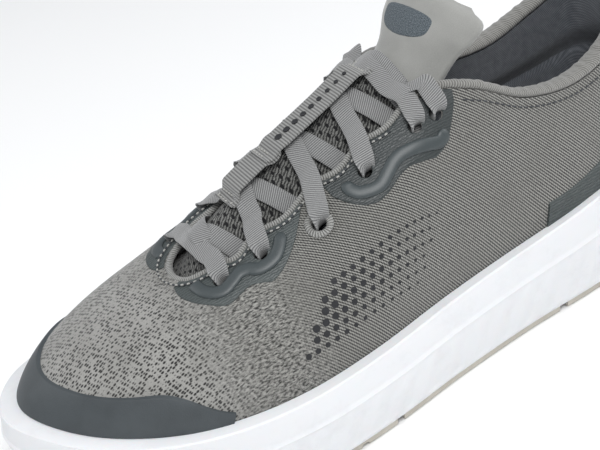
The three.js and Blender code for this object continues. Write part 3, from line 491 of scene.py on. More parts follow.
# ---------------------------------------------------------------- midsole
# Injection-moulded EVA foam, white, cupping the upper in a raised lip. Its mould leaves a fine satin grain, a
# parting ridge a third of the way down and shallow triangular facets below it.
TOE_SPRING, HEEL_BEVEL, FLAT_FRONT, FLAT_BACK = 15, 6, 70, -95
OUTSOLE_THICKNESS = 3
FOOT_FLARE, SOLE_FLARE = 5, 8
LIP_HEIGHT, HEEL_LIP_RISE = 10, 5
FACET, FACET_DEPTH = 13, 0.9  # length of one facet along the sole, and how far it is sunk
WALL_FLARE = ([0, 0.04, 0.1, 0.3, 0.5, 0.75, 0.93, 0.985, 1],  # shares of the wall's height, their flares
              [FOOT_FLARE - 1.2, FOOT_FLARE - 0.2, FOOT_FLARE + 0.6, 7.2, SOLE_FLARE, 7.5, 6.6, 6.2, 5.5])
RIDGE_SHARE = 0.66  # height of the ridge, from the foot of the wall to the lip
AROUND = 880
turn_ribs = (np.arange(AROUND) + 0.5) / AROUND * RIBS


def ground(x):
    """The underside's rise: a parabola past each end of the flat part."""
    front, rear = np.maximum(0, x - FLAT_FRONT) / 80, np.maximum(0, FLAT_BACK - x) / 50
    return TOE_SPRING * front ** 2 + HEEL_BEVEL * rear ** 2


def sole_edge(s, flare, height):
    """A point outside the lower edge of the upper, at a height above the ground line."""
    p = between(BOARD_LINE, s) + outward(BOARD_LINE, s) * np.asarray(flare, float)[..., None]
    p[..., 2] = ground(p[..., 0]) + height
    return p


def lip_height(s):
    """Height of the lip above the board, with its rise round the heel."""
    return LIP_HEIGHT + HEEL_LIP_RISE * (1 - smooth(from_heel(s), 1.5, 4))


def mid_wall(share):
    """The side wall at a share of its height: the flare there, plus the ridge, less the facets."""
    low = sole_edge(turn_ribs, 0 * turn_ribs, OUTSOLE_THICKNESS + GAP)[..., 2]
    base = between(BOARD_LINE, turn_ribs)
    high = base[..., 2] + lip_height(turn_ribs)
    flare = np.interp(share, *WALL_FLARE)
    run = np.cumsum(np.linalg.norm(np.diff(base, axis=0, prepend=0), axis=-1))
    slant = ((run - run[0]) / FACET + 0.8 * share) % 1
    zigzag = 1 - np.abs(2 * slant - 1)
    ending = 1 - smooth(share, RIDGE_SHARE - 0.1 * zigzag - 0.12, RIDGE_SHARE - 0.02)
    sunk = FACET_DEPTH * zigzag * smooth(share, 0.03, 0.12) * ending
    ridge = 0.45 * (1 - smooth(abs(share - RIDGE_SHARE), 0.0, 0.035)) + 0.35 * (share < RIDGE_SHARE)
    p = base + outward(BOARD_LINE, turn_ribs) * (flare + ridge - sunk)[:, None]
    p[:, 2] = low + (high - low) * share
    return p


def eva_finish(add):
    """White foam with a satin mould grain a third of a millimetre across and faint grey scuffs."""
    place_at = add("TexCoord", out=3)
    grain = add("TexNoise", {"Vector": place_at, "Scale": 3200.0, "Detail": 2.0})
    scuffs = add("TexNoise", {"Vector": place_at, "Scale": 70.0, "Detail": 6.0, "Roughness": 0.7})
    dirt = add("MapRange", (scuffs, 0.52, 0.8, 0.0, 0.5))
    return {
        "Base Color": (dirt, "#dfe0e2", "#cbccce"),
        "Roughness": add("MapRange", (scuffs, 0.3, 0.7, 0.48, 0.62)),
        "Subsurface Weight": 0.08, "Subsurface Scale": 0.002,
        "Normal": (0.25, 0.00015, grain),
    }


eva = material("moulded_eva_foam", eva_finish)
lip_v = rise_to(turn_ribs, lip_height(turn_ribs))
floor_edge = between(BOARD_LINE, turn_ribs) + outward(BOARD_LINE, turn_ribs) * GAP - UP * GAP
wall = [mid_wall(share) for share in np.concatenate([[0, 0.012], np.linspace(0.03, 0.97, 48), [0.985, 1]])]
seat = [inside(turn_ribs, lip_v * share, -GAP) for share in (1, 0.8, 0.6, 0.4, 0.2)]
midsole = loft("midsole_eva_wall", np.stack([*wall, *seat, floor_edge]), eva, ring_v=True, sharp=28)
fit(midsole, "midsole")

# ---------------------------------------------------------------- outsole
# Six pads of moulded rubber bonded under the foam, split by flex grooves. Shallow wavy sipes cross each pad.
GROOVE_WIDTH, GROOVE_DEPTH = 3, 1.8
GROOVES = (-122, -96, 36, 58, 82, 126)
SIPE_PITCH, SIPE_DEPTH = 7.0, 0.8
PADS = {  # x from, x to, y from, y to
    "outsole_toe": (112, 200, -80, 80), "outsole_forefoot_lateral": (22, 109, 2, 80),
    "outsole_forefoot_medial": (22, 109, -80, -2), "outsole_midfoot_lateral": (-66, 19, 12, 80),
    "outsole_heel_lateral": (-200, -70, 2, 80), "outsole_heel_medial": (-200, -70, -80, -2),
}
rubber = material("moulded_rubber", grained(
    ("#a59f94", "#c6c1b7"), 0.62, ("TexVoronoi", {"Scale": 1500.0}), (0.3, 0.0002),
    tone=("TexNoise", {"Scale": 60.0, "Detail": 5.0})))
half_turn = np.linspace(0.001, 10.999, 400)
outline = [sole_edge(on_side(half_turn, side), 0 * half_turn + FOOT_FLARE - 1.2, 0) for side in (1, -1)]


def pad(name, x0, x1, y0, y1):
    """Stations along x; each section runs over the treads from inner to outer edge and back along the top.
    Treads: sipes are a cosine along a wavy line, flex grooves are cut square, edges are eased by 0.8."""
    x0, x1 = max(x0, outline[0][0, 0] + 0.3), min(x1, outline[0][-1, 0] - 0.3)
    x = x0 + (x1 - x0) * (1 - np.cos(np.linspace(0, np.pi, 8))) / 2 if x1 - x0 < 1 else np.arange(x0, x1, 0.6)
    reach = [np.interp(x, edge[:, 0], edge[:, 1]) for edge in outline]
    low, high = np.maximum(reach[1], y0), np.maximum(np.minimum(reach[0], y1), np.maximum(reach[1], y0) + 0.4)
    share = np.linspace(0, 1, 56)
    y = low[:, None] + (high - low)[:, None] * share
    xs = np.repeat(x[:, None], len(share), 1)
    edge = np.minimum(np.minimum(y - low[:, None], high[:, None] - y), np.minimum(xs - x0, x1 - xs))
    ease = 0.8 * (1 - smooth(edge, 0, 1.4))
    wave = np.cos(2 * np.pi * (xs + 2.2 * np.sin(y / 4.5)) / SIPE_PITCH)
    tread = SIPE_DEPTH * smooth(wave, 0.72, 0.92) * smooth(edge, 1.5, 3.5)
    for g in GROOVES:
        tread = np.maximum(tread, GROOVE_DEPTH * (np.abs(xs - g - GROOVE_WIDTH / 2) < GROOVE_WIDTH / 2))
    under = np.stack([xs, y, ground(xs) + np.maximum(ease, tread)], -1)
    over = np.stack([xs, y, ground(xs) + OUTSOLE_THICKNESS], -1)
    made = loft(name + "_tread", np.concatenate([under, over[:, ::-1]], 1), rubber, ring_v=True, sharp=35)
    fit(made, name)


for name, extent in PADS.items():
    pad(name, *extent)

# ---------------------------------------------------------------- sockliner
# A loose footbed of 4 mm foam faced with brushed polyester; it lifts out through the mouth.
SOCKLINER_CLEARANCE = 1.4
BED_RIMS = ((0, 0.5), (0.5, 0), (2, 0), (3.3, 0), (3.8, 0.4), (4, 1.2))  # height above its foot, and inset


def footbed_finish(add):
    """A short pile: fine noise with a slow mottle."""
    place_at = add("TexCoord", out=3)
    pile = add("TexNoise", {"Vector": place_at, "Scale": 2400.0, "Detail": 2.0})
    mottle = add("TexNoise", {"Vector": place_at, "Scale": 120.0, "Detail": 3.0})
    both = add("Math", (pile, mottle), operation="MULTIPLY")
    share = add("MapRange", (both, 0.1, 0.45))
    return {
        "Base Color": (share, "#35383d", "#666b72"),
        "Roughness": 0.95, "Sheen Weight": 0.4, "Specular IOR Level": 0.2,
        "Normal": (0.4, 0.0002, pile),
    }


def bed_edge(height, inset):
    """The footbed's rim: the lining's inner face less a clearance, at a height above the board."""
    v = rise_to(turn_ribs, max(height, 1))
    p = inside(turn_ribs, v, lining_depth(turn_ribs, v) + LINING_THICKNESS + SOCKLINER_CLEARANCE + inset)
    p[:, 2] = between(BOARD_LINE, turn_ribs)[:, 2] + height
    return p


rims = [bed_edge(BOARD_THICKNESS + GAP + height, inset) for height, inset in BED_RIMS]
footbed_cloth = material("brushed_footbed_cloth", footbed_finish)
footbed = loft("sockliner_footbed", np.stack(rims), footbed_cloth, ring_v=True)
fit(footbed, "sockliner", "sockliner")

# ---------------------------------------------------------------- welded overlays
# Toe bumper, heel wrap and eyelet films are polyurethane film heat-pressed on the knit, whose stitches still
# show through. A smooth moulded bead runs round the eyelets on each film.
FILM_THICKNESS = 0.5
BUMPER_THICKNESS = 0.9
OVERLAY_SINK = 0.1  # how far an overlay is pressed into the knit
BEAD_HALF, BEAD_HEIGHT, BEAD_LIFT = 2.5, 1.2, 0.3
FILM_EDGES = {  # rib and level down the lower edge of each film, and along the middle of its bead
    "front": (
        [(7.76, 0.965), (7.82, 0.9), (7.9, 0.8), (7.98, 0.73), (8.14, 0.705), (8.36, 0.745), (8.6, 0.785),
         (8.74, 0.775), (8.9, 0.757), (9.14, 0.785), (9.4, 0.826), (9.8, 0.88), (10.2, 0.935), (10.4, 0.965)],
        [(9.86, 0.972), (9.74, 0.945), (9.56, 0.908), (9.32, 0.872), (9.1, 0.853), (8.95, 0.868),
         (8.82, 0.886), (8.66, 0.872), (8.5, 0.836), (8.34, 0.818), (8.19, 0.822), (8.13, 0.86),
         (8.1, 0.92)]),
    "rear": (
        [(5.42, 0.965), (5.46, 0.84), (5.54, 0.74), (5.7, 0.705), (6.0, 0.708), (6.2, 0.722), (6.34, 0.712),
         (6.44, 0.682), (6.6, 0.676), (6.8, 0.708), (7.0, 0.755), (7.2, 0.815), (7.36, 0.88), (7.44, 0.965)],
        [(7.14, 0.885), (7.1, 0.842), (6.97, 0.795), (6.82, 0.764), (6.7, 0.746), (6.6, 0.742), (6.53, 0.765),
         (6.46, 0.79), (6.36, 0.795), (6.22, 0.785), (6.0, 0.77), (5.8, 0.762), (5.66, 0.77), (5.58, 0.81)]),
}


def film_finish(tint, shade):
    """Satin film: the knit's courses press through as fine wavy lines, and it is a little darker in them."""
    def finish(add):
        cloth = add("UVMap", uv_map="cloth")
        drift = add("TexNoise", {"Vector": cloth, "Scale": 0.9, "Detail": 2.0})
        down = add("SeparateXYZ", [cloth], 1)
        wavy = add("Math", (drift, 1.4, down), operation="MULTIPLY_ADD")
        course = add("Math", [add("Math", (wavy, 6.4), operation="MULTIPLY")], operation="SINE")
        share = add("MapRange", (course, -1.0, 1.0, 0.0, 1.0))
        slow = add("TexNoise", {"Vector": cloth, "Scale": 0.08, "Detail": 3.0})
        mixed = add("Math", (share, 0.55, add("Math", (slow, 0.5), operation="MULTIPLY")),
                    operation="MULTIPLY_ADD")
        return {
            "Base Color": (mixed, shade, tint),
            "Roughness": add("MapRange", (share, 0.0, 1.0, 0.5, 0.38)),
            "Normal": (0.35, 0.0003, share),
        }
    return finish


def along(rows, t):
    """An open row of points read at places t between its rows: Catmull-Rom, with mirrored end rows."""
    rows = np.asarray(rows, float)
    rows = np.concatenate([[2 * rows[0] - rows[1]], rows, [2 * rows[-1] - rows[-2]]])
    first = np.clip(np.floor(t).astype(int), 0, len(rows) - 4)
    f = (t - first).reshape(-1, *([1] * (rows.ndim - 1)))
    return blend4(*(rows[first + k] for k in range(4)), f)


def on_skin(s, v, across, height):
    """Moves a place on the skin sideways by millimetres, by the least-squares step in s and v, then out."""
    e = 0.01
    ds = (skin(s + e, v) - skin(s - e, v)) / (2 * e)
    dv = (skin(s, np.minimum(v + e, 1)) - skin(s, v - e)) / (np.minimum(v + e, 1) - v + e)[..., None]
    a, b, c = (np.sum(p * q, -1) for p, q in ((ds, ds), (ds, dv), (dv, dv)))
    p, q = np.sum(ds * across, -1), np.sum(dv * across, -1)
    det = a * c - b * b
    return inside(s + (c * p - b * q) / det, v + (a * q - b * p) / det, -height)


def ridge(name, path):
    """A rounded bead along a path on the skin: a half ellipse on a flat base, tapered at both ends."""
    t = np.linspace(0, len(path) - 1, 260)
    s, v = along(path, t).T
    middle = skin(s, v)
    across = unit(np.cross(facing(s, v), np.gradient(middle, axis=0)))
    turn = np.linspace(0, np.pi, 16)
    taper = np.sin(np.pi * np.clip(np.minimum(t, len(path) - 1 - t) / 1.2, 0, 0.5)) ** 0.5
    taper = np.maximum(taper, 0.05)
    side = np.concatenate([np.cos(turn), [-0.9, 0.9]]) * BEAD_HALF
    rise = np.concatenate([np.sin(turn) ** 0.7 * BEAD_HEIGHT, [-0.2, -0.2]])
    rows = [on_skin(s, v, across * (x * taper)[:, None], BEAD_LIFT + z * taper) for x, z in zip(side, rise)]
    return loft(name, np.stack(rows, 1), bead_moulding, ring_v=True, sharp=60)


def eased(depth, share, width=0.06):
    """A depth that sinks to almost nothing at both edges of a ply, so that its rim is rounded over."""
    return depth * (0.15 + 0.85 * smooth(np.minimum(share, 1 - share), 0, width))


slate_film = material("welded_film", film_finish("#4f5655", "#2e3334"))
dark_film = material("welded_film_dark", film_finish("#3a4040", "#222728"))
bead_moulding = material("moulded_bead", grained(
    ("#363c3d", "#454c4e"), 0.42, ("TexNoise", {"Scale": 2600.0, "Detail": 3.0}), (0.12, 0.0001)))
bumper_film = material("toe_bumper_film", grained(
    ("#33383b", "#4a5053"), 0.55, ("TexVoronoi", {"Scale": 1700.0}), (0.3, 0.0002),
    tone=("TexNoise", {"Scale": 90.0, "Detail": 4.0})))
share = np.linspace(0, 1, 40)

toe_s = ribs(8.0, 13.8, 60)
foot = rise_to(toe_s, lip_height(toe_s))
bumper_top = foot + 0.02 + 0.215 * smooth(toe_s, 7.6, 9.5) * (1 - smooth(toe_s, 12.3, 14.2))
bumper = ply("toe_bumper_film", toe_s, levels(foot - 0.01, bumper_top, 40),
             eased(-GAP - BUMPER_THICKNESS, share), OVERLAY_SINK, bumper_film)
heel_s = ribs(-3.6, 3.6, 40)
foot = rise_to(heel_s, lip_height(heel_s))
heel_top = 0.62 - 0.3 * smooth(from_heel(heel_s), 0.8, 3.6)
emboss = 0.35 * smooth(np.sin(share * 26), 0.5, 0.9) * (share > 0.25) * (share < 0.9)
wrap = ply("heel_overlay_film", heel_s, levels(foot - 0.01, heel_top, 40),
           eased(-GAP - FILM_THICKNESS, share) - emboss, OVERLAY_SINK, slate_film)
fit(bumper, "toe_bumper")
fit(wrap, "heel_overlay")

for side, word in ((1, "lateral"), (-1, "medial")):
    for spot, (edge, bead) in FILM_EDGES.items():
        edge = np.array(edge)
        s = np.linspace(edge[0, 0], edge[-1, 0], 150)
        low = np.interp(s, *edge.T)
        low = np.convolve(np.pad(low, 3, "edge"), np.ones(7) / 7, "valid")
        s = on_side(s, side)
        top = np.maximum(throat_level(s) - 0.004, low + 0.004)
        lift = FILM_THICKNESS * 0.5 + 0.12
        film = punch(ply(f"film_{spot}_{word}_weld", s, levels(low, top, 40), eased(-lift, share, 0.03),
                         OVERLAY_SINK, slate_film if spot == "front" else dark_film))
        fit(film, f"film_{spot}_{word}")
        path = [(on_side(rib, side), v) for rib, v in bead]
        fit(ridge(f"bead_{spot}_{word}_roll", path), f"bead_{spot}_{word}")

# ---------------------------------------------------------------- side print
# A flexible dark ink screened on each quarter: a drift of dots that shrink toward the heel.
INK_HEIGHT = 0.12
DOT_ROWS, DOT_COLUMNS = 6, 13
DOT_PITCH, DOT_RADIUS = 4.3, 1.5
RIB_LENGTH = 33  # length of the quarter that one rib spans


def studs(name, points, looks):
    """Many little closed bodies from rings of points: body by ring by place round it."""
    count, rings, sides = points.shape[:3]
    i, j = np.meshgrid(np.arange(rings - 1), np.arange(sides), indexing="ij")
    quad = np.stack([i * sides + j, i * sides + (j + 1) % sides, (i + 1) * sides + (j + 1) % sides,
                     (i + 1) * sides + j], -1).reshape(-1, 4)
    k = np.arange(sides // 2 - 1)
    lid = np.stack([k, k + 1, sides - 2 - k, sides - 1 - k], -1)
    quad = np.concatenate([quad, lid[:, ::-1], lid + (rings - 1) * sides])
    faces = (quad[None] + np.arange(count)[:, None, None] * rings * sides).reshape(-1, 4)
    each = points.reshape(count, -1, 3)
    p = (each - each.mean(1, keepdims=True)).reshape(-1, 3)[faces]
    if np.einsum("ij,ij->", p[:, 0], np.cross(p[:, 1], p[:, 2]) + np.cross(p[:, 2], p[:, 3])) < 0:
        faces = faces[:, ::-1]
    return place(name, points + CENTRING, faces, looks)


def dots(name, side):
    """Low domes on a slanted grid over the quarter; the radius falls with the column and at the edges."""
    column, row = np.meshgrid(np.arange(DOT_COLUMNS), np.arange(DOT_ROWS), indexing="ij")
    column, row = column.ravel(), row.ravel()
    radius = DOT_RADIUS * (1 - 0.62 * column / DOT_COLUMNS) * (1 - 0.25 * np.abs(row - 2.5) / 2.5)
    s = on_side(7.1 - DOT_PITCH / RIB_LENGTH * (column + 0.5 * (row % 2)), side)
    v = 0.27 + 0.047 * row + 0.0005 * column
    level_way = unit(skin(s + 0.01, v) - skin(s - 0.01, v))
    ring = swing(level_way, np.cross(facing(s, v), level_way), dot_turn)
    rows = []
    for reach, height in ((1.0, 0.02), (1.0, INK_HEIGHT), (0.55, INK_HEIGHT * 1.1), (0.12, INK_HEIGHT * 1.1)):
        away = ring * (radius * reach)[:, None, None]
        rows.append(on_skin(s[:, None] + 0 * dot_turn, v[:, None] + 0 * dot_turn, away, height))
    fit(studs(name, np.stack(rows, 1), ink), None)


ink = material("screened_ink", grained(
    ("#131417", "#242529"), 0.6, ("TexNoise", {"Scale": 1800.0, "Detail": 2.0}), (0.4, 0.0002)))
dot_turn = np.linspace(0, 2 * np.pi, 20, endpoint=False)
for side, word in ((1, "lateral"), (-1, "medial")):
    dots(f"side_print_{word}", side)

# ---------------------------------------------------------------- edge trims
# A narrow knitted tape rolled over the scalloped throat edge, and a padded roll of the same tape over foam
# round the collar. Both are sewn on; a two-tone running stitch follows the throat tape.
PIPING_RADIUS = 1.3
BINDING_START, BINDING_RADIUS = 6.2, 1.8


def tape_finish(pale, deep, pitch=0.9, slant=0.35, fuzz=1.6):
    """Ribbed tape: cords across its run, one to a pitch and leaning by slant, blurred by some fuzz."""
    def finish(add):
        cloth = add("UVMap", uv_map="cloth")
        run = add("SeparateXYZ", [cloth], 0)
        round_it = add("SeparateXYZ", [cloth], 1)
        leaning = add("Math", (round_it, slant, run), operation="MULTIPLY_ADD")
        turns = add("Math", (leaning, 2 * np.pi / pitch), operation="MULTIPLY")
        cord = add("Math", [turns], operation="SINE")
        blur = add("TexNoise", {"Vector": cloth, "Scale": 2.2, "Detail": 3.0})
        blurred = add("Math", (blur, fuzz, cord), operation="MULTIPLY_ADD")
        share = add("MapRange", (blurred, 0.5 * fuzz - 1.2, 0.5 * fuzz + 1.0))
        return {
            "Base Color": (share, deep, pale),
            "Roughness": 0.9, "Sheen Weight": 0.3, "Specular IOR Level": 0.25,
            "Normal": (0.5, 0.0003, share),
        }
    return finish


def length_along(path):
    """The length run from the start of a path to each of its points."""
    return np.cumsum(np.linalg.norm(np.diff(path, axis=0, prepend=path[:1]), axis=-1))


def superellipse(sides, power):
    """Places round a superellipse: the cosine and the sine, each raised to 2 / power."""
    turn = (np.arange(sides) + 0.5) / sides * 2 * np.pi
    return (np.sign(q) * np.abs(q) ** (2 / power) for q in (np.cos(turn), np.sin(turn)))


def rolled_cloth(run, wide):
    """Cloth coordinates of a section carried along a path: the length run, and the place across."""
    wide = np.concatenate([wide, wide[:, :1]], 1)
    return np.stack([*np.broadcast_arrays(run[:, None], wide)], -1)


def swept(name, middle, across, over, half, rise, looks, sides, square=2.0):
    """A section carried along a path: a superellipse of half widths half and rise, power square."""
    c, z = superellipse(sides, square)
    half, rise = (np.broadcast_to(q, len(middle))[:, None, None] for q in (half, rise))
    points = middle[:, None] + across[:, None] * half * c[:, None] + over[:, None] * rise * z[:, None]
    uv = rolled_cloth(length_along(middle), half[:, 0] * c)
    return loft(name, points, looks, ring_v=True, uv=uv, sharp=50)


def trim(name, node, s, half, rise, depth, looks, sides):
    """A tape over the top edge at ribs s, of given half width and half height, set in by a depth."""
    v = throat_level(s)
    normal = facing(s, v)
    run = unit(skin(s + STEP, throat_level(s + STEP)) - skin(s - STEP, throat_level(s - STEP)))
    over = unit(np.cross(run, normal))
    over = over * np.sign(over[:, 2:3])
    middle = skin(s, v) - normal * depth[:, None] + over * (rise * 0.8)[:, None]
    made = swept(name, middle, normal, over, half, rise, looks, sides)
    fit(made, node)
    return made


throat_tape = material("rolled_knit_tape", tape_finish("#a3a3a0", "#5b5b58"))
collar_tape = material("padded_collar_knit", tape_finish("#94938f", "#5a5956"))
s = np.linspace(BINDING_START + 0.06, RIBS - BINDING_START - 0.06, 700)
slim = 0 * s + PIPING_RADIUS
trim("throat_piping_tape", "throat_piping", s, slim, slim, 0 * s + 1.0, throat_tape, 16)
s = np.linspace(-BINDING_START, BINDING_START, 640)
full = 1 - smooth(from_heel(s), 4.6, 6.1)  # over the collar foam
crease = 0.12 * np.sin(s * 31) * np.sin(s * 7.3 + 1) * full
collar = trim("collar_binding_roll", "collar_binding", s, BINDING_RADIUS + 2.5 * full + crease,
              BINDING_RADIUS + 0.5 * full + crease, 1.3 + 2.7 * full, collar_tape, 28)


def stitches(name, path, normal, pitch, share, radius, looks, body="root", offset=0.0):
    """A running stitch: short capsules along a path, each bent to follow it and sunk at its ends."""
    run = length_along(path)
    starts = np.arange(offset * pitch, run[-1] - pitch, pitch)
    at = starts[:, None] + np.array([0, 0.06, 0.5, 0.94, 1]) * pitch * share
    middle, out = (np.stack([np.interp(at, run, q) for q in rows.T], -1) for rows in (path, normal))
    out = unit(out)
    side = unit(np.cross(unit(np.gradient(middle, axis=1)), out))
    middle = middle + out * (radius * np.array([-0.3, 0.35, 0.6, 0.35, -0.3]))[:, None]
    girth = np.array([0.3, 0.85, 1, 0.85, 0.3]) * radius
    round_it = swing(side, out, (np.arange(6) + 0.5) / 6 * 2 * np.pi)
    points = middle[:, :, None] + round_it * girth[:, None, None]
    fit(studs(name, points, looks), None, body)


def thread(dark, light):
    """Twisted polyester thread: a fine twist in two tones."""
    return grained((dark, light), 0.7, ("TexNoise", {"Scale": 2500.0, "Detail": 1.0}), (0.3, 0.0001))


dark_thread = material("dark_sewing_thread", thread("#26282b", "#4b4e52"))
pale_thread = material("pale_sewing_thread", thread("#90908b", "#bab9b5"))
s = np.linspace(BINDING_START + 0.3, RIBS - BINDING_START - 0.3, 900)
below = np.maximum(throat_level(s) - 0.028, 0)
for word, looks, offset in (("dark", dark_thread, 0.0), ("pale", pale_thread, 0.5)):
    stitches(f"throat_stitch_{word}", inside(s, below, -0.75), facing(s, below), 2.6, 0.5, 0.36, looks,
             offset=offset)
s = np.linspace(-5.3, 5.3, 900)
below = 0 * s + 0.945
stitches("collar_stitch", inside(s, below, -0.1), facing(s, below), 2.8, 0.7, 0.3, dark_thread)

# a cord-edged buttonhole ring on the third eyelet
RING_RADIUS, RING_SECTION, RINGED = 5, 1, 2
for side, word in ((1, "lateral"), (-1, "medial")):
    s, v = np.array([on_side(EYELETS[RINGED, 0], side)]), EYELETS[RINGED, 1:]
    axis = facing(s, v)[0]
    first = unit(np.cross(axis, UP))
    turn = np.linspace(0, 2 * np.pi, 220)[:-1]
    spoke = swing(first, np.cross(axis, first), turn)
    cords = 1 + 0.09 * np.sin(turn * 30)
    tube = (np.arange(14) + 0.5) / 14 * 2 * np.pi
    middle = inside(s, v, np.array([-0.35]))[0] + spoke * (RING_RADIUS - RING_SECTION)
    points = middle[:, None] + cords[:, None, None] * swing(spoke * 1.25, axis * 0.95, tube)
    around, across = np.meshgrid(np.linspace(0, 25, 220), np.linspace(-2, 2, 15), indexing="ij")
    ring = loft(f"eyelet_ring_{word}_cord", points, throat_tape, ring_u=True, ring_v=True,
                uv=np.stack([around, across], -1))
    fit(ring, f"eyelet_ring_{word}")


# ---------------------------------------------------------------- tongue
# Knitted spacer mesh sewn across the front of the throat, with a brushed top and a soft lining over foam, a
# mottled heat-set patch whose near black is partly painted shade under the crossing laces, and a rolled edge.
# It swings about its sewn front end.
TONGUE_RIBS = np.array([10.5, 9.8, 9.0, 8.3, 7.6, 6.9, 6.3])
TONGUE_CROWN, TONGUE_SEAT, TONGUE_RUN = 9.5, 3.2, 6.0
TONGUE_TOP = ((-30, 13, 19, 10), (-38, 16.5, 24.5, 20), (-43, 16.5, 26, 26), (-45.5, 12, 20, 29.5))
TONGUE_SKIN, TONGUE_FOAM, TONGUE_PUFF = 1.2, 4.0, 0.9
TONGUE_SPLIT, TONGUE_END = 6.5, 10


def tongue_sections():
    """Rows of five points across the tongue: under the throat edges with a crowned middle, then the top."""
    rib = TONGUE_RIBS
    depth = TONGUE_SEAT + (TONGUE_RUN - TONGUE_SEAT) * (1 - smooth(rib, 9.4, 10.4))
    middle = (between(TOP_EDGE, rib) + between(TOP_EDGE, RIBS - rib)) / 2
    middle[:, 2] += TONGUE_CROWN * (1 - smooth(rib, 7.8, 10.4)) - depth * 1.3 * smooth(rib, 9, 10.4)
    inner, outer = ([inside(s, v, depth) for v in (0.86, 0.985)] for s in (RIBS - rib, rib))
    rows = np.stack([*inner, middle, *outer[::-1]], 1)
    top = [[(x - 9, -edge, high - 7), (x - 3, -shoulder, high - 2.2), (x, 0, high),
            (x - 3, shoulder, high - 2.2), (x - 9, edge, high - 7)] for x, shoulder, edge, high in TONGUE_TOP]
    top = np.array(top, float)
    top[..., 2] += between(TOP_EDGE, np.array(6.0))[2]
    return np.concatenate([rows, top])


def tongue_point(t, b):
    """The tongue's face: Catmull-Rom along its sections to t, then across their points to b, from -1 to 1."""
    t, b = np.broadcast_arrays(np.asarray(t, float), np.asarray(b, float))
    knots = along(SECTIONS, t.ravel())
    knots = np.concatenate([2 * knots[:, :1] - knots[:, 1:2], knots, 2 * knots[:, -1:] - knots[:, -2:-1]], 1)
    place_b = 2 * (b.ravel() + 1)
    first = np.clip(np.floor(place_b).astype(int), 0, 3)
    near = [np.take_along_axis(knots, (first + k)[:, None, None], 1)[:, 0] for k in range(4)]
    return blend4(*near, (place_b - first)[:, None]).reshape(t.shape + (3,))


def tongue_normal(t, b):
    """The direction out of the tongue's face: the cross product of its slopes across and along."""
    e = 0.02
    along_t = tongue_point(np.minimum(t + e, TONGUE_END), b) - tongue_point(np.maximum(t - e, 0), b)
    across = tongue_point(t, np.minimum(b + e, 1)) - tongue_point(t, np.maximum(b - e, -1))
    return unit(np.cross(across, along_t))


def on_tongue(t, b, height):
    """A point of the tongue's face raised along its normal by a height."""
    return tongue_point(t, b) + tongue_normal(t, b) * np.asarray(height, float)[..., None]


def tongue_ply(name, node, t, b, high, low, looks):
    """A ply of the tongue between two heights over its face. Its cloth coordinates are the lengths run
    along and across the face."""
    t, b = np.broadcast_arrays(t[:, None], b)
    points = np.concatenate([on_tongue(t, b, high), on_tongue(t, b, low)[:, ::-1]], 1)
    uv = rolled_cloth(length_along(points[:, b.shape[1] // 2]), points[..., 1])
    made = loft(name, points, looks, ring_v=True, uv=uv, sharp=60)
    fit(made, node, "tongue")
    return made


def eased_path(rows, weights, **ends):
    """A path smoothed by a moving average with given weights, its ends padded."""
    ends = ends or {"mode": "edge"}
    weights = weights / weights.sum()
    return np.stack([np.convolve(np.pad(q, len(weights) // 2, **ends), weights, "valid") for q in rows.T], -1)


def spacer_finish(add):
    """Open mesh: dark ovals on a staggered grid among short slanted grey strands, their pale tops painted
    highlight.
    """
    cloth = add("UVMap", uv_map="cloth")
    bent = add("TexNoise", {"Vector": cloth, "Scale": 0.7, "Detail": 2.0})
    slant = add("VectorMath", (cloth, (0.35, 1.0, 0)), 1, operation="DOT_PRODUCT")
    wavy = add("Math", (bent, 1.2, slant), operation="MULTIPLY_ADD")
    yarn = add("Math", [add("Math", (wavy, 2 * np.pi / 1.0), operation="MULTIPLY")], operation="SINE")
    knot = add("TexNoise", {"Vector": add("Mapping", {"Vector": cloth, "Scale": (1.0, 2.6, 1)}), "Scale": 1.3,
                            "Detail": 2.0, "Roughness": 0.7})
    yarn_ridge_highlight = add("MapRange", (add("Math", (knot, 3.4, yarn), operation="MULTIPLY_ADD"), 0.7, 2.9))
    hole_at = add("Mapping", {"Vector": cloth, "Rotation": (0, 0, 0.785), "Scale": (1 / 2.5, 1 / 3.1, 1)})
    spot = add("TexVoronoi", {"Vector": hole_at, "Scale": 1.0, "Randomness": 0.12})
    holes = add("MapRange", (spot, 0.2, 0.3), interpolation_type="SMOOTHSTEP")
    pattern = add("Math", (yarn_ridge_highlight, holes), operation="MULTIPLY")
    # the pale end of the colour mix is a painted highlight on the strand tops; the dark ovals are the holes
    return {
        "Base Color": (pattern, "#141516", "#8d8d89"),
        "Roughness": 0.85, "Specular IOR Level": 0.3, "Sheen Weight": 0.2,
        "Normal": (1.0, 0.0006, pattern),
    }


def brushed_finish(add):
    """Brushed tricot: a soft nap with a faint fleck."""
    cloth = add("UVMap", uv_map="cloth")
    nap = add("TexNoise", {"Vector": cloth, "Scale": 3.0, "Detail": 4.0, "Roughness": 0.7})
    drift = add("TexNoise", {"Vector": cloth, "Scale": 0.12, "Detail": 2.0})
    share = add("Math", (nap, 0.6, add("Math", (drift, 0.4), operation="MULTIPLY")),
                operation="MULTIPLY_ADD")
    return {
        "Base Color": (share, "#7c7c79", "#a8a8a4"),
        "Roughness": 0.95, "Sheen Weight": 0.5, "Sheen Roughness": 0.4, "Specular IOR Level": 0.2,
        "Normal": (0.35, 0.0002, nap),
    }


def patch_and_painted_shade_finish(add):
    """Heat-set film: granular blue-grey over near black, which is partly painted shade under the laces."""
    cloth = add("UVMap", uv_map="cloth")
    grain = add("TexNoise", {"Vector": cloth, "Scale": 2.4, "Detail": 3.0, "Roughness": 0.75})
    share = add("MapRange", (grain, 0.4, 0.62))
    return {
        "Base Color": (share, "#31383d", "#7a858c"),
        "Roughness": 0.6, "Normal": (0.7, 0.0003, share),
    }


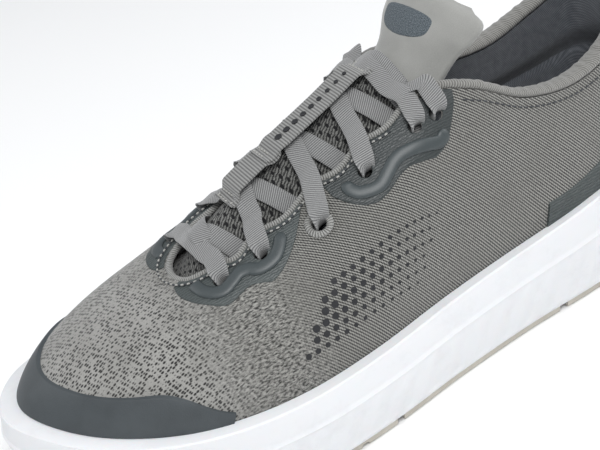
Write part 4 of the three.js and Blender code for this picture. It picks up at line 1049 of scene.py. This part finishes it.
SECTIONS = tongue_sections()
spacer = material("spacer_mesh", spacer_finish)
brushed = material("brushed_tricot", brushed_finish)
b = np.linspace(-1, 1, 72)
mesh_t = np.linspace(0, TONGUE_SPLIT, 150)
top_t = np.linspace(TONGUE_SPLIT + 0.02, TONGUE_END, 90)
front = tongue_ply("tongue_spacer_mesh", "tongue_mesh", mesh_t, b, 0.0, -TONGUE_SKIN, spacer)
fade = smooth(top_t, 6.5, 7.6) * (1 - smooth(top_t, 9.3, 10.0))
puff = TONGUE_PUFF * (1 - np.abs(b) ** 4) * fade[:, None]
cap = tongue_ply("tongue_brushed_top", "tongue_cap", top_t, b, puff, -TONGUE_SKIN, brushed)
low = -TONGUE_SKIN - TONGUE_FOAM - 2.3 * GAP
back_t = np.linspace(1, TONGUE_END, 150)
inner = tongue_ply("tongue_lining_knit", "tongue_lining", back_t, b, low,
                   low - LINING_THICKNESS, lining_knit)
# the patch lies on the brushed top where the laces cross it; its dark tone is partly painted shade
patch_t = np.linspace(7.5, 8.5, 30)
patch_b = np.linspace(-0.4, 0.4, 40)
rim = np.minimum(smooth(1 - 2 * np.abs(patch_t[:, None] - 8), 0, 0.2),
                 smooth(0.4 - np.abs(patch_b), 0, 0.06))
over_cap = TONGUE_PUFF * (1 - np.abs(patch_b) ** 4) * smooth(patch_t, 6.5, 7.6)[:, None]
oval = np.sqrt(1 - (1.98 * (patch_t - 8)) ** 4)[:, None]
tongue_ply("tongue_heat_patch_painted_shade", "tongue_patch", patch_t, patch_b * oval, over_cap + 0.05 + 0.3 * rim,
           over_cap - 0.1, material("heat_set_patch_painted_shade", patch_and_painted_shade_finish))

# the rolled edge: a soft roll of the brushed cloth round the top, over the ends of the plies
corner = np.concatenate([np.stack([np.linspace(6.3, 9.55, 80), np.full(80, -0.985)], -1),
                         np.stack([np.full(90, 9.93), np.linspace(-0.8, 0.8, 90)], -1),
                         np.stack([np.linspace(9.55, 6.3, 80), np.full(80, 0.985)], -1)])
corner = eased_path(corner, np.exp(-np.linspace(-2.2, 2.2, 25) ** 2))
normal = tongue_normal(*corner.T)
middle = on_tongue(*corner.T, -3.4)
out = unit(np.cross(np.gradient(middle, axis=0), normal))
roll = swept("tongue_rolled_edge", middle, out, normal, 2.4, 3.4, brushed, 24)
fit(roll, None, "tongue")

# ---------------------------------------------------------------- tongue strap
# Woven webbing in two lengths down the middle of the tongue, over the laces. The lower one is folded under
# and box-stitched at the front; the upper one laps over it and is ladder-stitched at the top.
STRAP_HALF, STRAP_THICKNESS = 6.4, 1.2
STRAP_TACKS = np.array([8.42, 7.72, 6.3])
STRAP_ARCH = 3.15


def tongue_at(rib):
    """The section count of a rib of the throat."""
    return np.where(rib > 6.3, np.interp(rib, TONGUE_RIBS[::-1], np.arange(7)[::-1]), 6 + (6.3 - rib) / 1.6)


def strap_path(low, high, lift, count):
    """Stations along the strap: it leaves the tongue beside each tack and arches over the laces."""
    rib = np.linspace(low, high, count)
    away = np.abs(rib[:, None] - STRAP_TACKS).min(1)
    t = tongue_at(rib)
    slack = 1.4 * (1 - smooth(np.abs(rib - STRAP_TACKS[1]), 0.03, 0.14))
    height = GAP + STRAP_THICKNESS / 2 + STRAP_ARCH * smooth(away, 0.03, 0.14) + slack + lift(rib)
    middle = eased_path(on_tongue(t, 0 * t, height), np.ones(9), mode="reflect", reflect_type="odd")
    return middle, tongue_normal(t, 0 * t)


webbing = material("grosgrain_webbing", tape_finish("#949492", "#4f4f4e", pitch=1.15, slant=0.05, fuzz=0.9))
level_y = np.array([0.0, 1.0, 0.0])
flat = lambda rib: 0 * rib
lap = lambda rib: 1.05 * (1 - smooth(STRAP_TACKS[1] - rib, 0.08, 0.2))
BACK = (7.82, 6.24, lap, 120)
for name, stations in (("tongue_strap_front", (8.49, 7.62, flat, 120)), ("tongue_strap_back", BACK),
                       ("tongue_strap_fold", (8.5, 8.29, lambda rib: 0 * rib - 0.3, 120))):
    middle, over = strap_path(*stations)
    made = swept(name, middle, 0 * middle + level_y, over, STRAP_HALF, STRAP_THICKNESS / 2, webbing, 44, 7.0)
    fit(made, "tongue_strap", "tongue")


middle, over = strap_path(*BACK)
at = np.interp(np.linspace(7.5, 6.52, 9), np.linspace(*BACK[:2], 120)[::-1], np.arange(120)[::-1])
middle, over = along(middle, at), unit(along(over, at))
ring = swing(unit(np.gradient(middle, axis=0)), level_y, dot_turn)
radius = 1.45 * (1 - 0.5 * np.arange(9) / 9)
rings = [ring * (radius * reach)[:, None, None] + (middle + over * (STRAP_THICKNESS / 2 + lift))[:, None]
         for reach, lift in ((1.0, -0.05), (1.0, 0.4), (0.85, 0.55), (0.12, 0.6))]
fit(studs("tongue_strap_print", np.stack(rings, 1), ink), None, "tongue")

SEAMS = (  # rib and side where each seam starts and ends, and the lift of the strap under it
    (8.475, 8.4749, -4.8, 4.8, flat), (8.37, 8.3699, -4.8, 4.8, flat), (8.475, 8.37, -4.8, -4.8, flat),
    (8.475, 8.37, 4.8, 4.8, flat), (7.79, 7.7899, -4.9, 4.9, lap), (7.72, 7.7199, -4.9, 4.9, lap),
    (6.37, 6.3699, -5, 5, flat), (6.33, 6.3299, -5, 5, flat), (6.29, 6.2899, -5, 5, flat),
    (6.26, 6.2599, -5, 5, flat))
for k, (low, high, y0, y1, lift) in enumerate(SEAMS):
    middle, over = strap_path(low, high, lift, 60)
    middle = middle + level_y * np.linspace(y0, y1, 60)[:, None] + over * (STRAP_THICKNESS / 2 + 0.12)
    stitches(f"strap_seam_{k}", middle, over, 2.0, 0.62, 0.36, pale_thread, "tongue")

# ---------------------------------------------------------------- lace
# One flat tubular polyester braid. It comes up through each eyelet folded into a U, opens flat over the
# rolled edge, crosses the tongue, and both ends go down inside the shoe.
LACE_HALF, LACE_RISE = 3.8, 0.5
LACE_FOLD = 4.3  # radians that the section is bent through in an eyelet
THROAT_LINE = unit((between(TOP_EDGE, np.array(7.0)) - between(TOP_EDGE, np.array(9.0))) * (1, 0, 1))
LAYER = 1.35
LEAN = 0.2  # ribs that each crossing lies forward of half way
OVER_TONGUE, ON_SHOULDER, OVER_PIPING = 1.4, 1.12, 3.45
TAIL = ((6.08, 0.82), (6.2, 0.7), (6.35, 0.6), (6.55, 0.52), (6.8, 0.46), (7.05, 0.42), (7.3, 0.4))


def row(point, fold=0.0, opening=UP, wide=THROAT_LINE):
    """One station: its place, how far its section is bent and toward where, and its flat direction."""
    return np.concatenate([point, fold * np.asarray(opening), wide])


def edge_crossing(rib, side):
    """Over the rolled edge: above the top of the knit, and out from it."""
    s = on_side(rib, side)
    up_edge = unit(skin(s, 1.0) - skin(s, 0.98))
    thick = BINDING_RADIUS if rib < BINDING_START else PIPING_RADIUS
    return row(skin(s, 1.0) + up_edge * (2 * thick + GAP) + facing(s, 1.0) * (1.4 * thick + 1), 0.25,
               -facing(s, 1.0))


def rising(k, side):
    """Up through eyelet k: folded into a U that opens away from the throat."""
    s, v = on_side(EYELETS[k, 0], side), EYELETS[k, 1]
    away = unit(skin(s, v - 0.04) - skin(s, v))
    top = 4.4 if k == RINGED else 3.2
    steps = ((-3.9, 0.45, -0.4), (-1.8, 1.0, -1.0), (0.2, 1.0, -1.1), (1.1, 0.95, -1.0),
             (top - 0.9, 0.62, -1.6), (top - 0.35, 0.3, -3.2))  # height, share of the fold, shift
    return [row(inside(s, v, -h) + away * shift, LACE_FOLD * share, away) for h, share, shift in steps]


def crossing(k, side, layer, under):
    """From eyelet k on one side over the tongue to the next eyelet on the other side."""
    rib = lambda f: EYELETS[k, 0] + (EYELETS[k + 1, 0] - EYELETS[k, 0]) * f + LEAN * np.sin(np.pi * f)
    on = lambda f, b, height: row(on_tongue(tongue_at(rib(f)), b * side, height))
    if under:
        first = [on(0.14, 0.66, OVER_TONGUE), on(0.23, 0.45, ON_SHOULDER), on(0.31, 0.3, ON_SHOULDER),
                 on(0.39, 0.15, OVER_TONGUE + layer * 0.3)]
    else:
        first = [edge_crossing(rib(0.14), side), on(0.28, 0.27, OVER_PIPING),
                 on(0.36, 0.15, OVER_TONGUE + layer * 0.7 + 0.4)]
    return first + [
        *(on(f, 0.1 - 1.25 * (f - 0.42), OVER_TONGUE + layer) for f in (0.42, 0.5, 0.58)),
        on(0.7, -0.28, OVER_TONGUE + layer * 0.4), on(0.79, -0.45, ON_SHOULDER), on(0.87, -0.62, OVER_TONGUE)]


def lace_tail(side, layer):
    """Over the top of the tongue and down between the tongue and the lining, rolled up at the very end."""
    t = tongue_at(5.9)
    on = lambda dt, b, height: row(on_tongue(t + dt, b * side, height))
    rows = [edge_crossing(5.92, side), on(0, 0.38, OVER_PIPING + 0.5), on(0, 0.28, OVER_PIPING),
            on(0, 0.12, OVER_TONGUE + layer), on(0.05, 0, OVER_TONGUE + layer),
            on(0.05, -0.12, OVER_TONGUE + layer * 0.7), on(0.05, -0.3, OVER_TONGUE + layer * 0.5),
            on(0.04, -0.45, OVER_TONGUE), on(0.02, -0.6, OVER_TONGUE)]
    for k, (rib, v) in enumerate(TAIL):
        s = on_side(rib, -side)
        wall = inside(s, v, lining_depth(s, v) + LINING_THICKNESS + 2 + 0.5 * k)
        down = unit(skin(s, v) - skin(s, v + 0.02))
        turned = min(k / 3, 1)
        rows.append(row(wall, max(0, k - 4) * 2.6, facing(s, v), THROAT_LINE * (1 - turned) + down * turned))
    return rows


def lace_half(first):
    """From the middle of the front bar through all six rows of eyelets to one end."""
    t = tongue_at(EYELETS[0, 0])
    rows = [row(on_tongue(t, b * first, OVER_PIPING + lift)) for b, lift in ((0, 0), (0.14, 0), (0.24, 1.4))]
    rows += [edge_crossing(EYELETS[0, 0], first), *rising(0, first)[::-1]]
    side = first
    for k in range(len(EYELETS) - 1):
        over = (first > 0) == (k % 2 == 0)
        rows += crossing(k, side, LAYER if over else 0, k == 0)
        side = -side
        rows += rising(k + 1, side)
    return rows + lace_tail(side, LAYER if first > 0 else 0)


def ribbon(name, stations):
    """A flat rounded section bent to an arc: a place c across becomes an angle c * fold / 2 on a circle of
    radius 2 * half / fold."""
    middle, fold, wide, run = stations[:, :3], stations[:, 3:6], stations[:, 6:9], stations[:, 9]
    forward = unit(np.gradient(middle, axis=0))
    across = unit(wide - forward * np.sum(wide * forward, -1, keepdims=True))
    over = np.cross(forward, across)
    c, z = superellipse(26, 2.6)
    angle = c * np.sum(fold * over, -1, keepdims=True) / 2
    x = LACE_HALF * c * np.sinc(angle / np.pi) - LACE_RISE * z * np.sin(angle)
    y = LACE_HALF * c * angle / 2 * np.sinc(angle / 2 / np.pi) ** 2 + LACE_RISE * z * np.cos(angle)
    points = middle[:, None] + across[:, None] * x[..., None] + over[:, None] * y[..., None]
    uv = rolled_cloth(run, np.broadcast_to(c * LACE_HALF, angle.shape))
    return loft(name, points, braid, ring_v=True, uv=uv, sharp=70)


braid = material("flat_lace_braid", tape_finish("#9a9a99", "#535455", pitch=0.8, slant=0.3, fuzz=1.1))
route = np.array(lace_half(-1)[:0:-1] + lace_half(1))
run = length_along(route[:, :3])
fine_run = np.arange(0, run[-1], 0.4)
rows = np.stack([np.interp(fine_run, run, q) for q in route.T], -1)
rows = eased_path(rows, np.exp(-(np.arange(-9, 10) * 0.4 / 1.5) ** 2 / 2))
rows = np.column_stack([rows, fine_run])[::3]
middle_y = tongue_point(4.0, 0.0)[1]
cuts = np.flatnonzero(np.diff(np.sign(rows[:, 1] - middle_y)))
share = ((middle_y - rows[cuts, 1]) / (rows[cuts + 1, 1] - rows[cuts, 1]))[:, None]
knots = rows[cuts] * (1 - share) + rows[cuts + 1] * share
bounds = [0, *(cuts + 1), len(rows)]
lengths = {1: [], -1: []}
for k in range(len(bounds) - 1):
    part = rows[bounds[k]:bounds[k + 1]]
    part = np.concatenate([knots[k - 1:k] if k else part[:0], part, knots[k:k + 1]])
    lengths[1 if part[:, 1].mean() > middle_y else -1].append(ribbon(f"lace_length_{k}", part))
bpy.context.view_layer.update()
for side, word in ((1, "lateral"), (-1, "medial")):
    with bpy.context.temp_override(active_object=lengths[side][0], selected_editable_objects=lengths[side]):
        bpy.ops.object.join()
    half = lengths[side][0]
    half.name = f"shoelace_{word}_runs"
    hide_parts("shoelace")
    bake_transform(half)


sleeve = material("acetate_sleeve", grained(
    ("#54575b", "#6d7074"), 0.22, ("TexNoise", {"Scale": 1.0}), stretch=(300, 2000, 2000),
    **{"Coat Weight": 0.5}))
refinish(sleeve, "aglet_lateral", "aglet_medial")

# ---------------------------------------------------------------- heel pull loop
# A loop of the same webbing, folded double and sewn flat to the heel, open at the top for a finger.
TAB_HEIGHT, TAB_HALF, TAB_WIDTH, TAB_THICKNESS, TAB_BASE = 21.0, 3.3, 14.0, 1.6, 0.66
turn = np.linspace(0, np.pi, 40)
path = np.concatenate([
    np.stack([np.linspace(-TAB_HALF, TAB_HALF, 12), np.zeros(12)], -1)[:-1],
    np.stack([np.full(40, TAB_HALF), np.linspace(0, TAB_HEIGHT - TAB_HALF, 40)], -1)[:-1],
    np.stack([TAB_HALF * np.cos(turn), TAB_HEIGHT - TAB_HALF + TAB_HALF * np.sin(turn)], -1)[:-1],
    np.stack([np.full(40, -TAB_HALF), np.linspace(TAB_HEIGHT - TAB_HALF, 0, 40)], -1)[:-1]])
path = path * (1 - TAB_THICKNESS / 2 / np.array([TAB_HALF, TAB_HEIGHT / 2])) + (0, TAB_THICKNESS / 2)
low, high = skin(0.0, TAB_BASE), skin(0.0, 0.95)
lean = np.arctan2(high[0] - low[0], high[2] - low[2])
x = path[:, 0] * np.cos(lean) + path[:, 1] * np.sin(lean)
z = path[:, 1] * np.cos(lean) - path[:, 0] * np.sin(lean)
middle = np.stack([x + low[0] - TAB_HALF - 2 * GAP, 0 * x, z + low[2]], -1)
forward = unit(np.roll(middle, -1, 0) - np.roll(middle, 1, 0))
over = np.cross(forward, level_y)
c, z = superellipse(36, 7)
wide, thick = TAB_WIDTH / 2 * c, TAB_THICKNESS / 2 * z
points = middle[:, None] + level_y * wide[:, None] + over[:, None] * thick[:, None]
run = np.cumsum(np.linalg.norm(middle - np.roll(middle, 1, 0), axis=-1))
run = np.append(run, run[-1] + 1)
uv = rolled_cloth(run, np.broadcast_to(wide, (len(run), 36)))
tab = loft("heel_pull_loop_webbing", points, webbing, ring_u=True, ring_v=True, uv=uv, sharp=60)
fit(tab, "heel_pull_loop", "pull_loop")

size = {"cad": [list(c) for c in cad_box], "visual": [list(c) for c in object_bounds()]}
